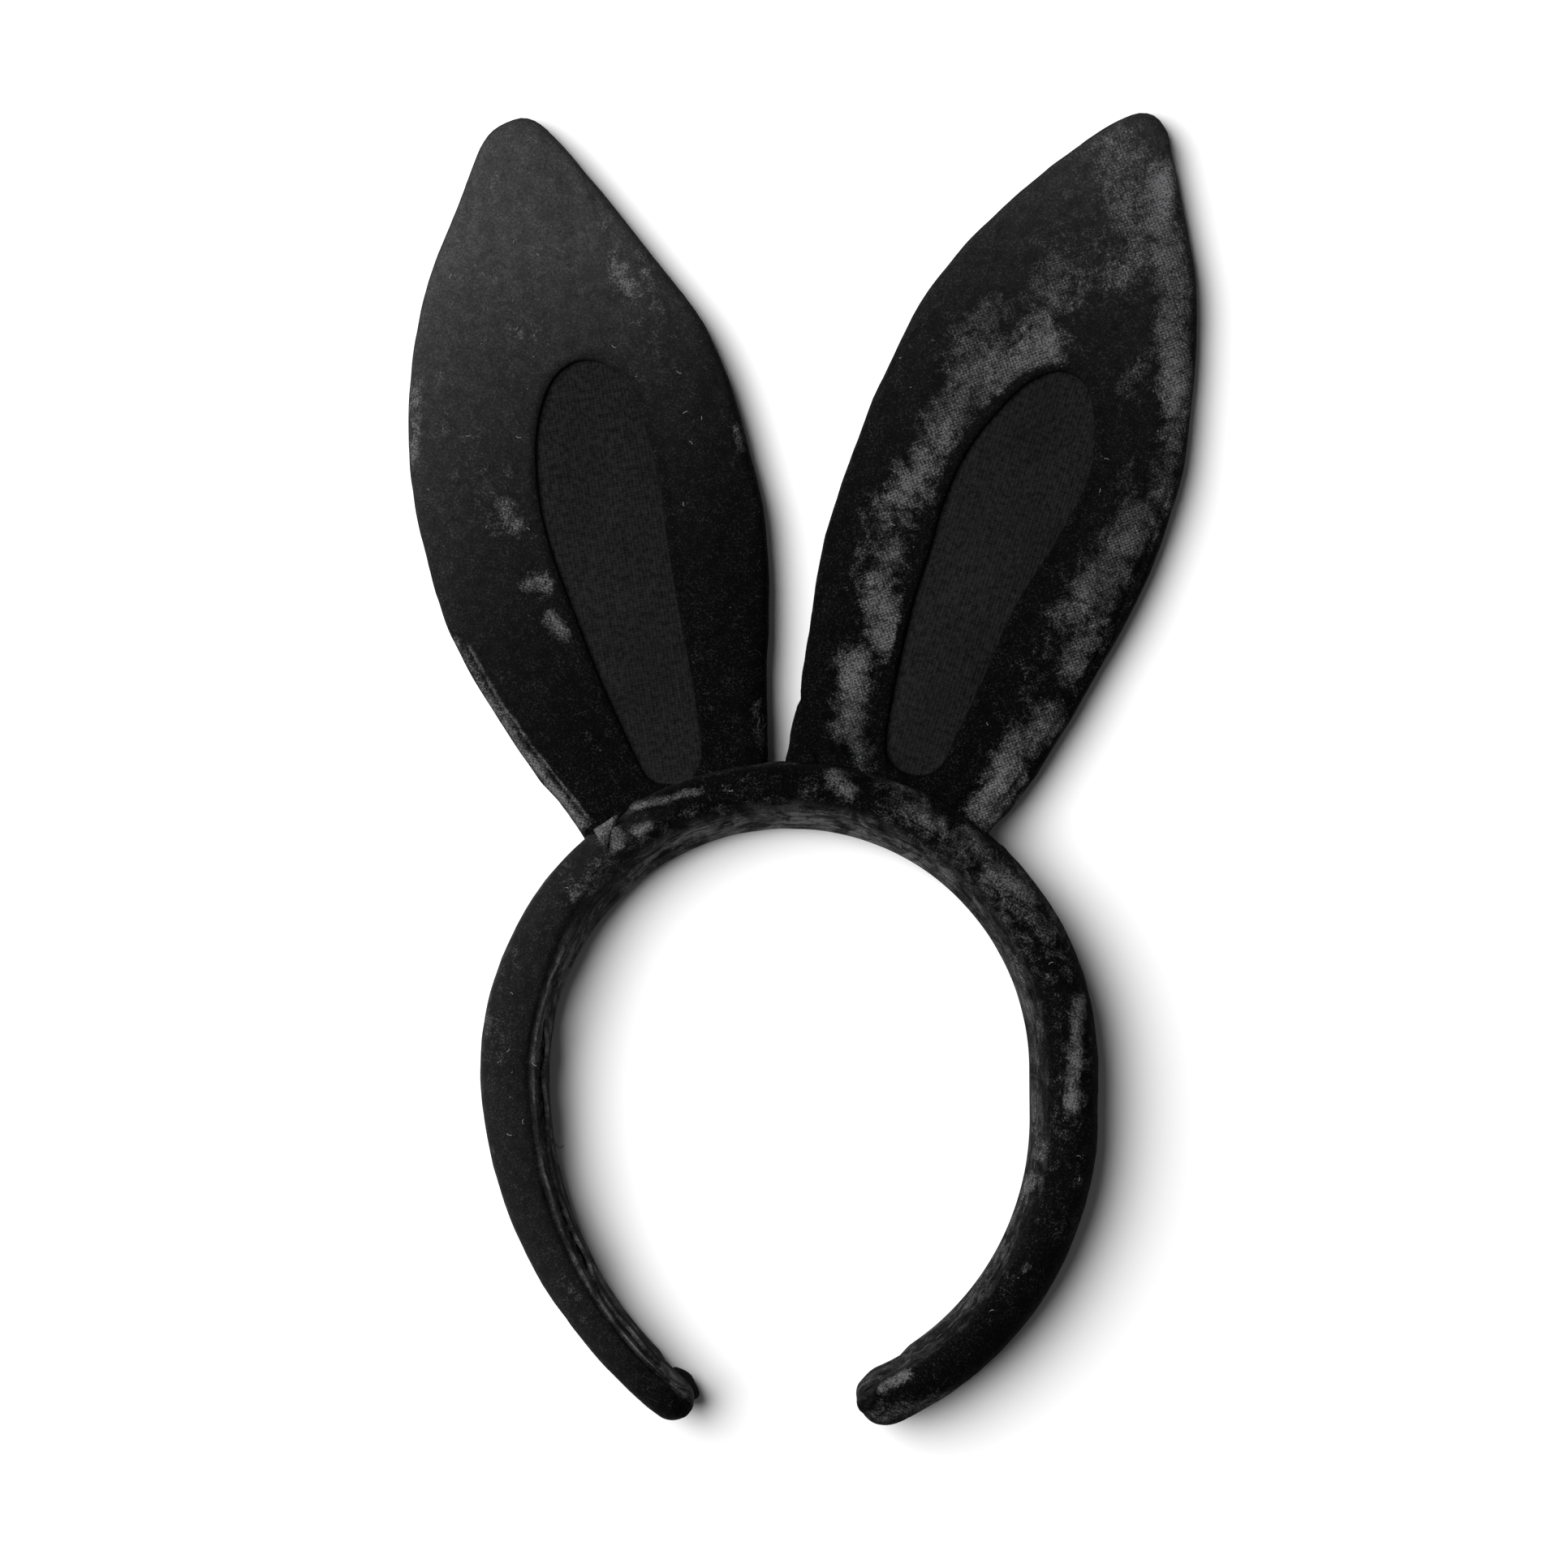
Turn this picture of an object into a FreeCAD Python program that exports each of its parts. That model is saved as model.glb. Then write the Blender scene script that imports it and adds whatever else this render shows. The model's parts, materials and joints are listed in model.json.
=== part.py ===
import FreeCAD, Part
import math
import os
import re
import Sketcher

# An animal-ears headband lying flat: a padded hoop open at the bottom, with two flat stuffed ears.
# Millimetres. Z is up from the table, Y runs towards the ear tips, and the middle of the hoop is the origin.

document = FreeCAD.newDocument("ears_headband")
sheet = document.addObject("Spreadsheet::Sheet", "Sizes")

SIZES = {
    # hoop
    "head_radius": 60, "lining_thick": 1, "lining_tall": 13, "slip": 0.1,
    "band_wide": 16, "band_tall": 25, "cover_thick": 1,
    "core_thick": 1.2, "core_tall": 10, "core_inset": 2,
    "joint_gap": 0.3, "table_gap": 0,
    # arms, left and right as seen from above
    "left_joint_angle": 133, "right_joint_angle": 48,
    "left_straight": 0, "left_curve": 104.6, "left_sweep": 51.6, "left_tip_wide": 10.5, "left_tip_tall": 20,
    "right_straight": 12, "right_curve": 76.5, "right_sweep": 64.4, "right_tip_wide": 14, "right_tip_tall": 22,
    # ears: distances out from and along a line through the middle of the hoop that leans with the ear
    "left_lean": 12.9, "left_reach": 251, "left_tip_out": 12.9, "left_out": 60.2, "left_in": 24.4,
    "left_widest": 152, "left_foot_out": 38.5, "left_foot_in": 11.5,
    "right_lean": 20.9, "right_reach": 261, "right_tip_out": 0, "right_out": 40, "right_in": 39.5,
    "right_widest": 157, "right_foot_out": 24.9, "right_foot_in": 29.2,
    "ear_drop": 1.5, "ear_rise": 9.6, "ear_gap": 6, "tip_round": 7, "edge_round": 2.5,
    "ear_low": 4.5, "ear_top": 5, "skin": 1, "roof": 1.2,
    "wire_radius": 0.7, "wire_gap": 0.3, "pad_top": 1.1,
    "foot_gap": 1.6, "foot_thick": 3, "foot_grip": 10, "foot_side": 5,
    # knitted insert of each ear and the window that it shows through
    "insert_thick": 1, "insert_drop": 1.2, "insert_turn": 3,
    "left_window_reach": 187.5, "left_window_tip_out": 11, "left_window_out": 29.3, "left_window_in": 1.4,
    "left_window_widest": 152, "left_window_foot_out": 19, "left_window_foot_in": -4,
    "right_window_reach": 190.5, "right_window_tip_out": 3, "right_window_out": 17, "right_window_in": 14.8,
    "right_window_widest": 154, "right_window_foot_out": 10.3, "right_window_foot_in": 6.1,
    "window_foot": 5,
    # stitches
    "stitch_size": 0.44, "stitch_angle": 1.8, "stitch_pitch": 3.2, "foot_stitch_long": 3.4, "foot_stitch_pitch": 2.4,
}
for row, (word, value) in enumerate(SIZES.items(), 1):
    sheet.set("A%d" % row, word)
    sheet.set("B%d" % row, str(value))
    sheet.setAlias("B%d" % row, word)
document.recompute()

WORDS = re.compile(r"\b(%s)\b" % "|".join(sorted(SIZES, key=len, reverse=True)))

# Rules that several pieces share, written in the words of the sheet.
COVER_IN = "(head_radius + lining_thick + slip)"
MIDDLE = "(%s + band_wide / 2)" % COVER_IN
COVER_OUT = "(%s + band_wide)" % COVER_IN
BAND_LEVEL = "(table_gap + band_tall / 2)"
EAR_FOOT = "(%s + ear_gap)" % COVER_OUT
FOOT_IN = "(%s + foot_gap)" % COVER_OUT
FOOT_OUT = "(%s + foot_grip)" % EAR_FOOT
INSIDE_TIP = "(tip_round + skin)"  # clear of the rounded tip of the cover


def bound(rule):
    return WORDS.sub(r"Sizes.\1", str(rule))


def amount(rule):
    return float(sheet.evalExpression(bound(rule)))


def placed(item, rule_x, rule_y, rule_z, turns, where="Placement"):
    """Binds a placement to the sheet. turns is a list of (axis, rule for the angle), outermost first."""
    spin = " * ".join(
        "create(<<rotation>>; create(<<vector>>; %d; %d; %d); %s)" % (*axis, bound(angle)) for axis, angle in turns
    )
    spot = "create(<<vector>>; %s; %s; %s)" % (bound(rule_x), bound(rule_y), bound(rule_z))
    item.setExpression(where, "create(<<placement>>; %s; %s)" % (spot, spin))


def new_body(label):
    body = document.addObject("PartDesign::Body", label)
    body.Label = label
    body.AllowCompound = True
    return body


def new_sketch(body, name, role):
    sketch = body.newObject("Sketcher::SketchObject", body.Label + "_" + name)
    plane = [item for item in body.Origin.OriginFeatures if item.Role == role][0]
    sketch.AttachmentSupport = [(plane, "")]
    sketch.MapMode = "FlatFace"
    return sketch


def hold(sketch, kind, *parts):
    """Adds a constraint. A last part that is text is a rule for its size, bound to the sheet."""
    if isinstance(parts[-1], str):
        number = sketch.addConstraint(Sketcher.Constraint(kind, *parts[:-1], amount(parts[-1])))
        sketch.setExpression("Constraints[%d]" % number, bound(parts[-1]))
    else:
        sketch.addConstraint(Sketcher.Constraint(kind, *parts))


def pin_point(sketch, curve, end, rule_x, rule_y):
    hold(sketch, "DistanceX", -1, 1, curve, end, rule_x)
    hold(sketch, "DistanceY", -1, 1, curve, end, rule_y)


def line(sketch, start, end):
    return sketch.addGeometry(Part.LineSegment(FreeCAD.Vector(*start, 0), FreeCAD.Vector(*end, 0)), False)


def arc(sketch, centre, radius, first, last):
    circle = Part.Circle(FreeCAD.Vector(*centre, 0), FreeCAD.Vector(0, 0, 1), radius)
    return sketch.addGeometry(Part.ArcOfCircle(circle, math.radians(first), math.radians(last)), False)


def draw_slot(sketch, centre, wide, tall):
    """An upright rounded section with half-round ends."""
    x, half, side = amount(centre), amount(wide) / 2, (amount(tall) - amount(wide)) / 2
    right = line(sketch, (x + half, -side), (x + half, side))
    top = arc(sketch, (x, side), half, 0, 180)
    left = line(sketch, (x - half, side), (x - half, -side))
    foot = arc(sketch, (x, -side), half, 180, 360)
    for one, other in ((right, top), (left, foot)):
        hold(sketch, "Tangent", one, 2, other, 1)
    hold(sketch, "Tangent", top, 2, left, 1)
    hold(sketch, "Tangent", foot, 2, right, 1)
    hold(sketch, "Vertical", right)
    hold(sketch, "Equal", top, foot)
    hold(sketch, "Radius", top, "(%s) / 2" % wide)
    pin_point(sketch, top, 3, centre, "((%s) - (%s)) / 2" % (tall, wide))
    hold(sketch, "DistanceY", -1, 1, foot, 3, "((%s) - (%s)) / 2" % (wide, tall))


def draw_box(sketch, low_x, high_x, low_y, high_y):
    x0, x1, y0, y1 = (amount(rule) for rule in (low_x, high_x, low_y, high_y))
    corners = [(x0, y0), (x1, y0), (x1, y1), (x0, y1)]
    sides = [line(sketch, corners[n], corners[(n + 1) % 4]) for n in range(4)]
    for n in range(4):
        hold(sketch, "Coincident", sides[n], 2, sides[(n + 1) % 4], 1)
        hold(sketch, "Vertical" if n % 2 else "Horizontal", sides[n])
    pin_point(sketch, sides[0], 1, low_x, low_y)
    pin_point(sketch, sides[2], 1, high_x, high_y)


def slot_section(wide, tall):
    return lambda sketch, centre, sign, tip: draw_slot(sketch, centre, wide[tip], tall[tip])


def strip_section(shift, thick, tall):
    """A flat upright strip, shift towards the head from the middle of the band."""

    def draw(sketch, centre, sign, tip):
        near = "(%s) - (%d) * (%s)" % (centre, sign, shift[tip])
        half = "(%s) / 2" % thick
        low, high = "%s - %s" % (near, half), "%s + %s" % (near, half)
        draw_box(sketch, low, high, "-(%s) / 2" % tall, "(%s) / 2" % tall)

    return draw


def tip_spot(side):
    """Rules for the end of an arm's middle line: x, y and the turn of the arm there."""
    sign = 1 if side == "right" else -1
    names = dict(m=MIDDLE, c=side + "_curve", w=side + "_sweep", st=side + "_straight", s=sign)
    x = "({s}) * ({m} - {c} + {c} * cos({w} * 1deg))".format(**names)
    y = "-({st} + {c} * sin({w} * 1deg))".format(**names)
    return x, y, "({s}) * {w}".format(**names)


def sweep_arm(body, side, name, section, remove=False):
    """Adds or removes the same section round the hoop's arc and then along the arm to its tip."""
    sign = 1 if side == "right" else -1
    start = new_sketch(body, name + "_start", "XZ_Plane")
    section(start, "(%d) * %s" % (sign, MIDDLE), sign, 0)
    turn = body.newObject("PartDesign::Groove" if remove else "PartDesign::Revolution", body.Label + "_" + name + "_turn")
    turn.Profile = start
    turn.ReferenceAxis = (start, ["V_Axis"])
    turn.Reversed = side == "left"
    gap = "joint_gap / %s * 180 / pi" % MIDDLE
    reach = "right_joint_angle" if side == "right" else "180 - left_joint_angle"
    turn.setExpression("Angle", bound("%s - %s" % (reach, gap)))
    x, y, bend = tip_spot(side)
    path = new_sketch(body, name + "_path", "XY_Plane")
    curve, sweep, straight = amount(side + "_curve"), amount(side + "_sweep"), amount(side + "_straight")
    centre = (sign * (amount(MIDDLE) - curve), -straight)
    turned = (-sweep, 0) if side == "right" else (180, 180 + sweep)
    bow = arc(path, centre, curve, *turned)
    head, tip = (2, 1) if side == "right" else (1, 2)
    pin_point(path, bow, 3, "(%d) * (%s - %s_curve)" % (sign, MIDDLE, side), "-%s_straight" % side)
    hold(path, "Radius", bow, side + "_curve")
    hold(path, "DistanceY", -1, 1, bow, head, "-%s_straight" % side)
    hold(path, "DistanceY", -1, 1, bow, tip, y)
    if straight:
        leg = line(path, (sign * amount(MIDDLE), 0), (sign * amount(MIDDLE), -straight))
        hold(path, "Coincident", leg, 2, bow, head)
        hold(path, "Vertical", leg)
        hold(path, "DistanceY", -1, 1, leg, 1, "0 * slip")
    end = new_sketch(body, name + "_end", "XZ_Plane")
    placed(end, x, "0 * slip", "-(%s)" % y, [((0, 1, 0), "-(%s)" % bend)], "AttachmentOffset")
    section(end, "0 * slip", sign, 1)
    document.recompute()
    pipe = body.newObject(
        "PartDesign::SubtractivePipe" if remove else "PartDesign::AdditivePipe", body.Label + "_" + name + "_run"
    )
    pipe.Profile = start
    pipe.Spine = path
    pipe.Sections = [(end, [""])]
    pipe.Transformation = "Multisection"
    document.recompute()


def sweep_crown(body, name, section, remove=False):
    """The same for the middle stretch of the hoop, between the two arm joints."""
    start = new_sketch(body, name + "_start", "XZ_Plane")
    section(start, MIDDLE, 1, 0)
    turn = body.newObject("PartDesign::Groove" if remove else "PartDesign::Revolution", body.Label + "_" + name + "_turn")
    turn.Profile = start
    turn.ReferenceAxis = (start, ["V_Axis"])
    turn.setExpression("Angle", bound("left_joint_angle - right_joint_angle"))
    document.recompute()


def band_piece(label, side, section, hollow=None):
    body = new_body(label)
    if side == "crown":
        sweep_crown(body, "solid", section)
        if hollow:
            sweep_crown(body, "hollow", hollow, True)
        placed(body, "0 * slip", "0 * slip", BAND_LEVEL, [((0, 0, 1), "right_joint_angle")])
    else:
        sweep_arm(body, side, "solid", section)
        if hollow:
            sweep_arm(body, side, "hollow", hollow, True)
        placed(body, "0 * slip", "0 * slip", BAND_LEVEL, [((0, 0, 1), "0 * slip")])
    return body


def stitch_row(label, side):
    """Small stitches along both edges of the lining, repeated round the hoop's arc."""
    body = new_body(label)
    sketch = new_sketch(body, "stitch", "XZ_Plane")
    near = "head_radius + lining_thick - stitch_size / 2"
    for way in (-1, 1):
        low = "(%d) * (lining_tall / 2 + slip + stitch_size / 2) - stitch_size / 2" % way
        draw_box(sketch, near + " - stitch_size / 2", near + " + stitch_size / 2", low, low + " + stitch_size")
    turn = body.newObject("PartDesign::Revolution", label + "_turn")
    turn.Profile = sketch
    turn.ReferenceAxis = (sketch, ["V_Axis"])
    turn.setExpression("Angle", bound("stitch_angle"))
    span = {
        "crown": "left_joint_angle - right_joint_angle",
        "left": "180 - left_joint_angle",
        "right": "right_joint_angle",
    }[side]
    start = {"crown": "right_joint_angle", "left": "left_joint_angle", "right": "0 * slip"}[side]
    rest = {"crown": "0.7", "left": "0.7", "right": "0.1"}[side]
    row = body.newObject("PartDesign::PolarPattern", label + "_row")
    row.Originals = [turn]
    row.Axis = (sketch, ["V_Axis"])
    row.setExpression("Occurrences", bound("floor((%s - 1) / stitch_pitch)" % span))
    row.setExpression("Angle", bound("stitch_pitch * (floor((%s - 1) / stitch_pitch) - 1)" % span))
    row.Mode = "Extent"
    body.Tip = row
    placed(body, "0 * slip", "0 * slip", BAND_LEVEL, [((0, 0, 1), "%s + %s" % (start, rest))])
    document.recompute()
    return body


def end_cap(label, side):
    """The rounded, folded end that closes an arm's cover."""
    body = new_body(label)
    sketch = new_sketch(body, "half", "XZ_Plane")
    wide, tall = side + "_tip_wide", side + "_tip_tall"
    half, level = amount(wide) / 2, (amount(tall) - amount(wide)) / 2
    top = arc(sketch, (0, level), half, 0, 90)
    foot = arc(sketch, (0, -level), half, -90, 0)
    wall = line(sketch, (half, -level), (half, level))
    spine = line(sketch, (0, level + half), (0, -level - half))
    hold(sketch, "Tangent", wall, 2, top, 1)
    hold(sketch, "Tangent", foot, 2, wall, 1)
    hold(sketch, "Coincident", top, 2, spine, 1)
    hold(sketch, "Coincident", spine, 2, foot, 1)
    hold(sketch, "Vertical", spine)
    hold(sketch, "Equal", top, foot)
    hold(sketch, "Radius", top, wide + " / 2")
    pin_point(sketch, top, 3, "0 * slip", "(%s - %s) / 2" % (tall, wide))
    hold(sketch, "DistanceY", -1, 1, spine, 2, "-%s / 2" % tall)
    turn = body.newObject("PartDesign::Revolution", label + "_turn")
    turn.Profile = sketch
    turn.ReferenceAxis = (sketch, ["V_Axis"])
    turn.setExpression("Angle", bound("180 + 0 * slip"))
    x, y, bend = tip_spot(side)
    placed(body, x, y, BAND_LEVEL, [((0, 0, 1), "180 - (%s)" % bend)])
    document.recompute()
    return body


def leaf(sketch, side, part, inset, foot_radius, closed=True, tip_back=None):
    """A leaf outline: two arcs up each side that meet at a tip, and an arc round the hoop at the foot.

    Each lower and upper arc runs along the ear where the leaf is widest. inset moves the outline inwards,
    and tip_back is how far its tip stops short of the ear's reach.
    """
    sign = 1 if side == "right" else -1
    prefix = side + ("_window_" if part == "window" else "_")
    level = prefix + "widest"
    tip_x = "(%d) * (%stip_out)" % (sign, prefix)
    tip_y = "%sreach - (%s)" % (prefix, tip_back or "1.25 * (%s)" % inset)
    edges = {}
    for way, word in ((sign, "out"), (-sign, "in")):
        edges[way] = (
            "(%d) * (%s%s - (%s))" % (way, prefix, word, inset),
            "(%d) * (%sfoot_%s - (%s))" % (way, prefix, word, inset),
        )
    feet = {}
    for way in (1, -1):
        wide, foot = (amount(rule) for rule in edges[way])
        foot_y = math.sqrt(amount(foot_radius) ** 2 - foot**2)
        feet[way] = (foot, foot_y)
        up, over = amount(level), abs(wide - foot)
        low_radius = ((up - foot_y) ** 2 + over**2) / (2 * over)
        rise, run = amount(tip_y) - up, abs(wide - amount(tip_x))
        high_radius = (rise**2 + run**2) / (2 * run)
        fall = math.degrees(math.asin((up - foot_y) / low_radius))
        climb = math.degrees(math.asin(rise / high_radius))
        if run > high_radius:
            climb = 180 - climb
        if way > 0:
            low = arc(sketch, (wide - low_radius, up), low_radius, -fall, 0)
            high = arc(sketch, (wide - high_radius, up), high_radius, 0, climb)
            ends = {"foot": (low, 1), "wide": (low, 2), "join": (high, 1), "tip": (high, 2)}
        else:
            low = arc(sketch, (wide + low_radius, up), low_radius, 180, 180 + fall)
            high = arc(sketch, (wide + high_radius, up), high_radius, 180 - climb, 180)
            ends = {"foot": (low, 2), "wide": (low, 1), "join": (high, 2), "tip": (high, 1)}
        feet[way] += (ends,)
        hold(sketch, "Coincident", *ends["wide"], *ends["join"])
        pin_point(sketch, *ends["wide"], edges[way][0], level)
        hold(sketch, "DistanceY", -1, 1, low, 3, level)
        hold(sketch, "DistanceY", -1, 1, high, 3, level)
        hold(sketch, "DistanceX", -1, 1, *ends["foot"], edges[way][1])
        if not closed:
            rule = "sqrt((%s) ^ 2 - (%s) ^ 2)" % (foot_radius, edges[way][1])
            hold(sketch, "DistanceY", -1, 1, *ends["foot"], rule)
    hold(sketch, "Coincident", *feet[1][2]["tip"], *feet[-1][2]["tip"])
    pin_point(sketch, *feet[1][2]["tip"], tip_x, tip_y)
    if closed:
        angles = [math.degrees(math.atan2(feet[way][1], feet[way][0])) for way in (1, -1)]
        foot = arc(sketch, (0, 0), amount(foot_radius), *angles)
        hold(sketch, "Coincident", foot, 3, -1, 1)
        hold(sketch, "Radius", foot, foot_radius)
        hold(sketch, "Coincident", foot, 1, *feet[1][2]["foot"])
        hold(sketch, "Coincident", foot, 2, *feet[-1][2]["foot"])


def place_ear(body, side):
    """Leans the ear in the table's plane and drops its tip a little, about the middle of its foot."""
    sign = -1 if side == "right" else 1
    lean = "(%d) * %s_lean" % (sign, side)
    back = "%s * (1 - cos(ear_drop * 1deg))" % COVER_OUT
    x = "-sin(%s * 1deg) * %s" % (lean, back)
    y = "cos(%s * 1deg) * %s" % (lean, back)
    z = "table_gap + ear_rise + %s * sin(ear_drop * 1deg)" % COVER_OUT
    placed(body, x, y, z, [((0, 0, 1), lean), ((1, 0, 0), "-ear_drop")])


def plate(label, side, part, inset, foot_radius, low, high, tip_back=None):
    body = new_body(label)
    sketch = new_sketch(body, "outline", "XY_Plane")
    placed(sketch, "0 * slip", "0 * slip", low, [((0, 0, 1), "0 * slip")], "AttachmentOffset")
    leaf(sketch, side, part, inset, foot_radius, tip_back=tip_back)
    pad = body.newObject("PartDesign::Pad", label + "_pad")
    pad.Profile = sketch
    pad.setExpression("Length", bound("(%s) - (%s)" % (high, low)))
    document.recompute()
    return body


def cut_out(body, name, side, part, inset, foot_radius, low, high, tip_back=None):
    """Takes a leaf out of a plate between two levels."""
    sketch = new_sketch(body, name, "XY_Plane")
    placed(sketch, "0 * slip", "0 * slip", low, [((0, 0, 1), "0 * slip")], "AttachmentOffset")
    leaf(sketch, side, part, inset, foot_radius, tip_back=tip_back)
    pocket = body.newObject("PartDesign::Pocket", body.Label + "_" + name + "_cut")
    pocket.Profile = sketch
    pocket.Reversed = True
    pocket.setExpression("Length", bound("(%s) - (%s)" % (high, low)))
    document.recompute()
    return pocket


def edges_near(shape, wanted):
    return ["Edge%d" % (n + 1) for n, edge in enumerate(shape.Edges) if wanted(edge)]


def round_tip(body, side, radius, part="ear"):
    """Rounds the upright edge at the tip of the body's newest leaf."""
    sign = 1 if side == "right" else -1
    prefix = side + ("_window_" if part == "window" else "_")
    x = sign * amount(prefix + "tip_out")
    y = amount(prefix + "reach")

    def at_tip(edge):
        ends = [vertex.Point for vertex in edge.Vertexes]
        upright = len(ends) == 2 and abs(ends[0].x - ends[1].x) < 1e-6 and abs(ends[0].y - ends[1].y) < 1e-6
        return upright and abs(ends[0].x - x) < 0.5 and abs(ends[0].y - y) < 8 and ends[0].z != ends[1].z

    tip = body.Tip
    names = edges_near(tip.Shape, at_tip)
    fillet = body.newObject("PartDesign::Fillet", body.Label + "_tip_%s_round" % part)
    fillet.Base = (tip, names)
    fillet.setExpression("Radius", bound(radius))
    document.recompute()
    return fillet


def ear_front(label, side):
    """The front cover of an ear: a shallow tray, face up, with a window for the insert."""
    floor = "-ear_low + skin + slip"
    body = plate(label, side, "ear", "0 * slip", EAR_FOOT, floor, "ear_top")
    round_tip(body, side, "tip_round")
    tip = body.Tip
    high = amount("ear_top")

    def on_rim(edge):
        ends = [vertex.Point for vertex in edge.Vertexes]
        level = all(abs(point.z - high) < 1e-6 for point in ends)
        middle = edge.valueAt((edge.FirstParameter + edge.LastParameter) / 2)
        return level and abs(middle.z - high) < 1e-6 and middle.Length > amount(EAR_FOOT) + 0.5

    soft = body.newObject("PartDesign::Fillet", label + "_edge_round")
    soft.Base = (tip, edges_near(tip.Shape, on_rim))
    soft.setExpression("Radius", bound("edge_round"))
    document.recompute()
    cut_out(body, "inside", side, "ear", "skin", "%s - 2" % EAR_FOOT, floor, "ear_top - roof", INSIDE_TIP)
    cut_out(body, "window", side, "window", "0 * slip", "%s + window_foot" % EAR_FOOT, "ear_top - roof - 1", "ear_top + 1")
    place_ear(body, side)
    return body


def ear_back(label, side):
    body = plate(label, side, "ear", "0 * slip", EAR_FOOT, "-ear_low", "-ear_low + skin")
    round_tip(body, side, "tip_round")
    place_ear(body, side)
    return body


def ear_pad(label, side):
    inset = "skin + 2 * wire_gap + 2 * wire_radius"
    low = "-ear_low + skin + slip"
    tip_back = INSIDE_TIP + " + 3.4 * (wire_gap + wire_radius)"
    body = plate(label, side, "ear", inset, FOOT_OUT + " + wire_gap", low, "pad_top", tip_back)
    place_ear(body, side)
    return body


def ear_insert(label, side):
    high = "ear_top - roof - insert_drop"
    foot = "%s + window_foot - insert_turn" % FOOT_OUT
    body = plate(label, side, "window", "-insert_turn", foot, high + " - insert_thick", high)
    place_ear(body, side)
    return body


def ear_wire(label, side):
    """One wire up both sides of the ear, just inside its cover."""
    sign = 1 if side == "right" else -1
    body = new_body(label)
    path = new_sketch(body, "path", "XY_Plane")
    inset = "skin + wire_gap + wire_radius"
    foot = EAR_FOOT + " + 2 * wire_radius"
    leaf(path, side, "ear", inset, foot, closed=False, tip_back=INSIDE_TIP + " + 1.7 * (wire_gap + wire_radius)")
    ring = new_sketch(body, "ring", "XZ_Plane")
    word = "out" if sign > 0 else "in"
    wide, start = ("%s_%s%s - (%s)" % (side, part, word, inset) for part in ("", "foot_"))
    up = "sqrt((%s) ^ 2 - (%s) ^ 2)" % (foot, start)
    chord = "atan((%s - %s) / (%s_widest - %s))" % (wide, start, side, up)
    placed(ring, start, "0 * slip", "-(%s)" % up, [((0, 1, 0), "-2 * %s" % chord)], "AttachmentOffset")
    loop = ring.addGeometry(Part.Circle(FreeCAD.Vector(0, 0, 0), FreeCAD.Vector(0, 0, 1), amount("wire_radius")), False)
    hold(ring, "Coincident", loop, 3, -1, 1)
    hold(ring, "Radius", loop, "wire_radius")
    document.recompute()
    pipe = body.newObject("PartDesign::AdditivePipe", label + "_run")
    pipe.Profile = ring
    pipe.Spine = path
    pipe.Transition = "Round corner"
    document.recompute()
    place_ear(body, side)
    return body


def ear_foot(label, side):
    """The sewn foot: a thin strip that follows the hoop's outside and reaches into the ear."""
    sign = 1 if side == "right" else -1
    body = new_body(label)
    sketch = new_sketch(body, "outline", "XY_Plane")
    placed(sketch, "0 * slip", "0 * slip", "-foot_thick / 2", [((0, 0, 1), "0 * slip")], "AttachmentOffset")
    rules = {sign: "(%d) * (%s_foot_out - foot_side)" % (sign, side), -sign: "(%d) * (%s_foot_in - foot_side)" % (-sign, side)}
    arcs = []
    for radius in (FOOT_IN, FOOT_OUT):
        size = amount(radius)
        angles = [math.degrees(math.acos(amount(rules[way]) / size)) for way in (1, -1)]
        arcs.append(arc(sketch, (0, 0), size, *angles))
        hold(sketch, "Coincident", arcs[-1], 3, -1, 1)
        hold(sketch, "Radius", arcs[-1], radius)
    for way, end in ((1, 1), (-1, 2)):
        x = amount(rules[way])
        wall = line(sketch, *((x, math.sqrt(amount(radius) ** 2 - x**2)) for radius in (FOOT_IN, FOOT_OUT)))
        hold(sketch, "Coincident", wall, 1, arcs[0], end)
        hold(sketch, "Coincident", wall, 2, arcs[1], end)
        hold(sketch, "Vertical", wall)
        hold(sketch, "DistanceX", -1, 1, wall, 1, rules[way])
    pad = body.newObject("PartDesign::Pad", label + "_pad")
    pad.Profile = sketch
    pad.setExpression("Length", bound("foot_thick"))
    document.recompute()
    place_ear(body, side)
    return body


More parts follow.
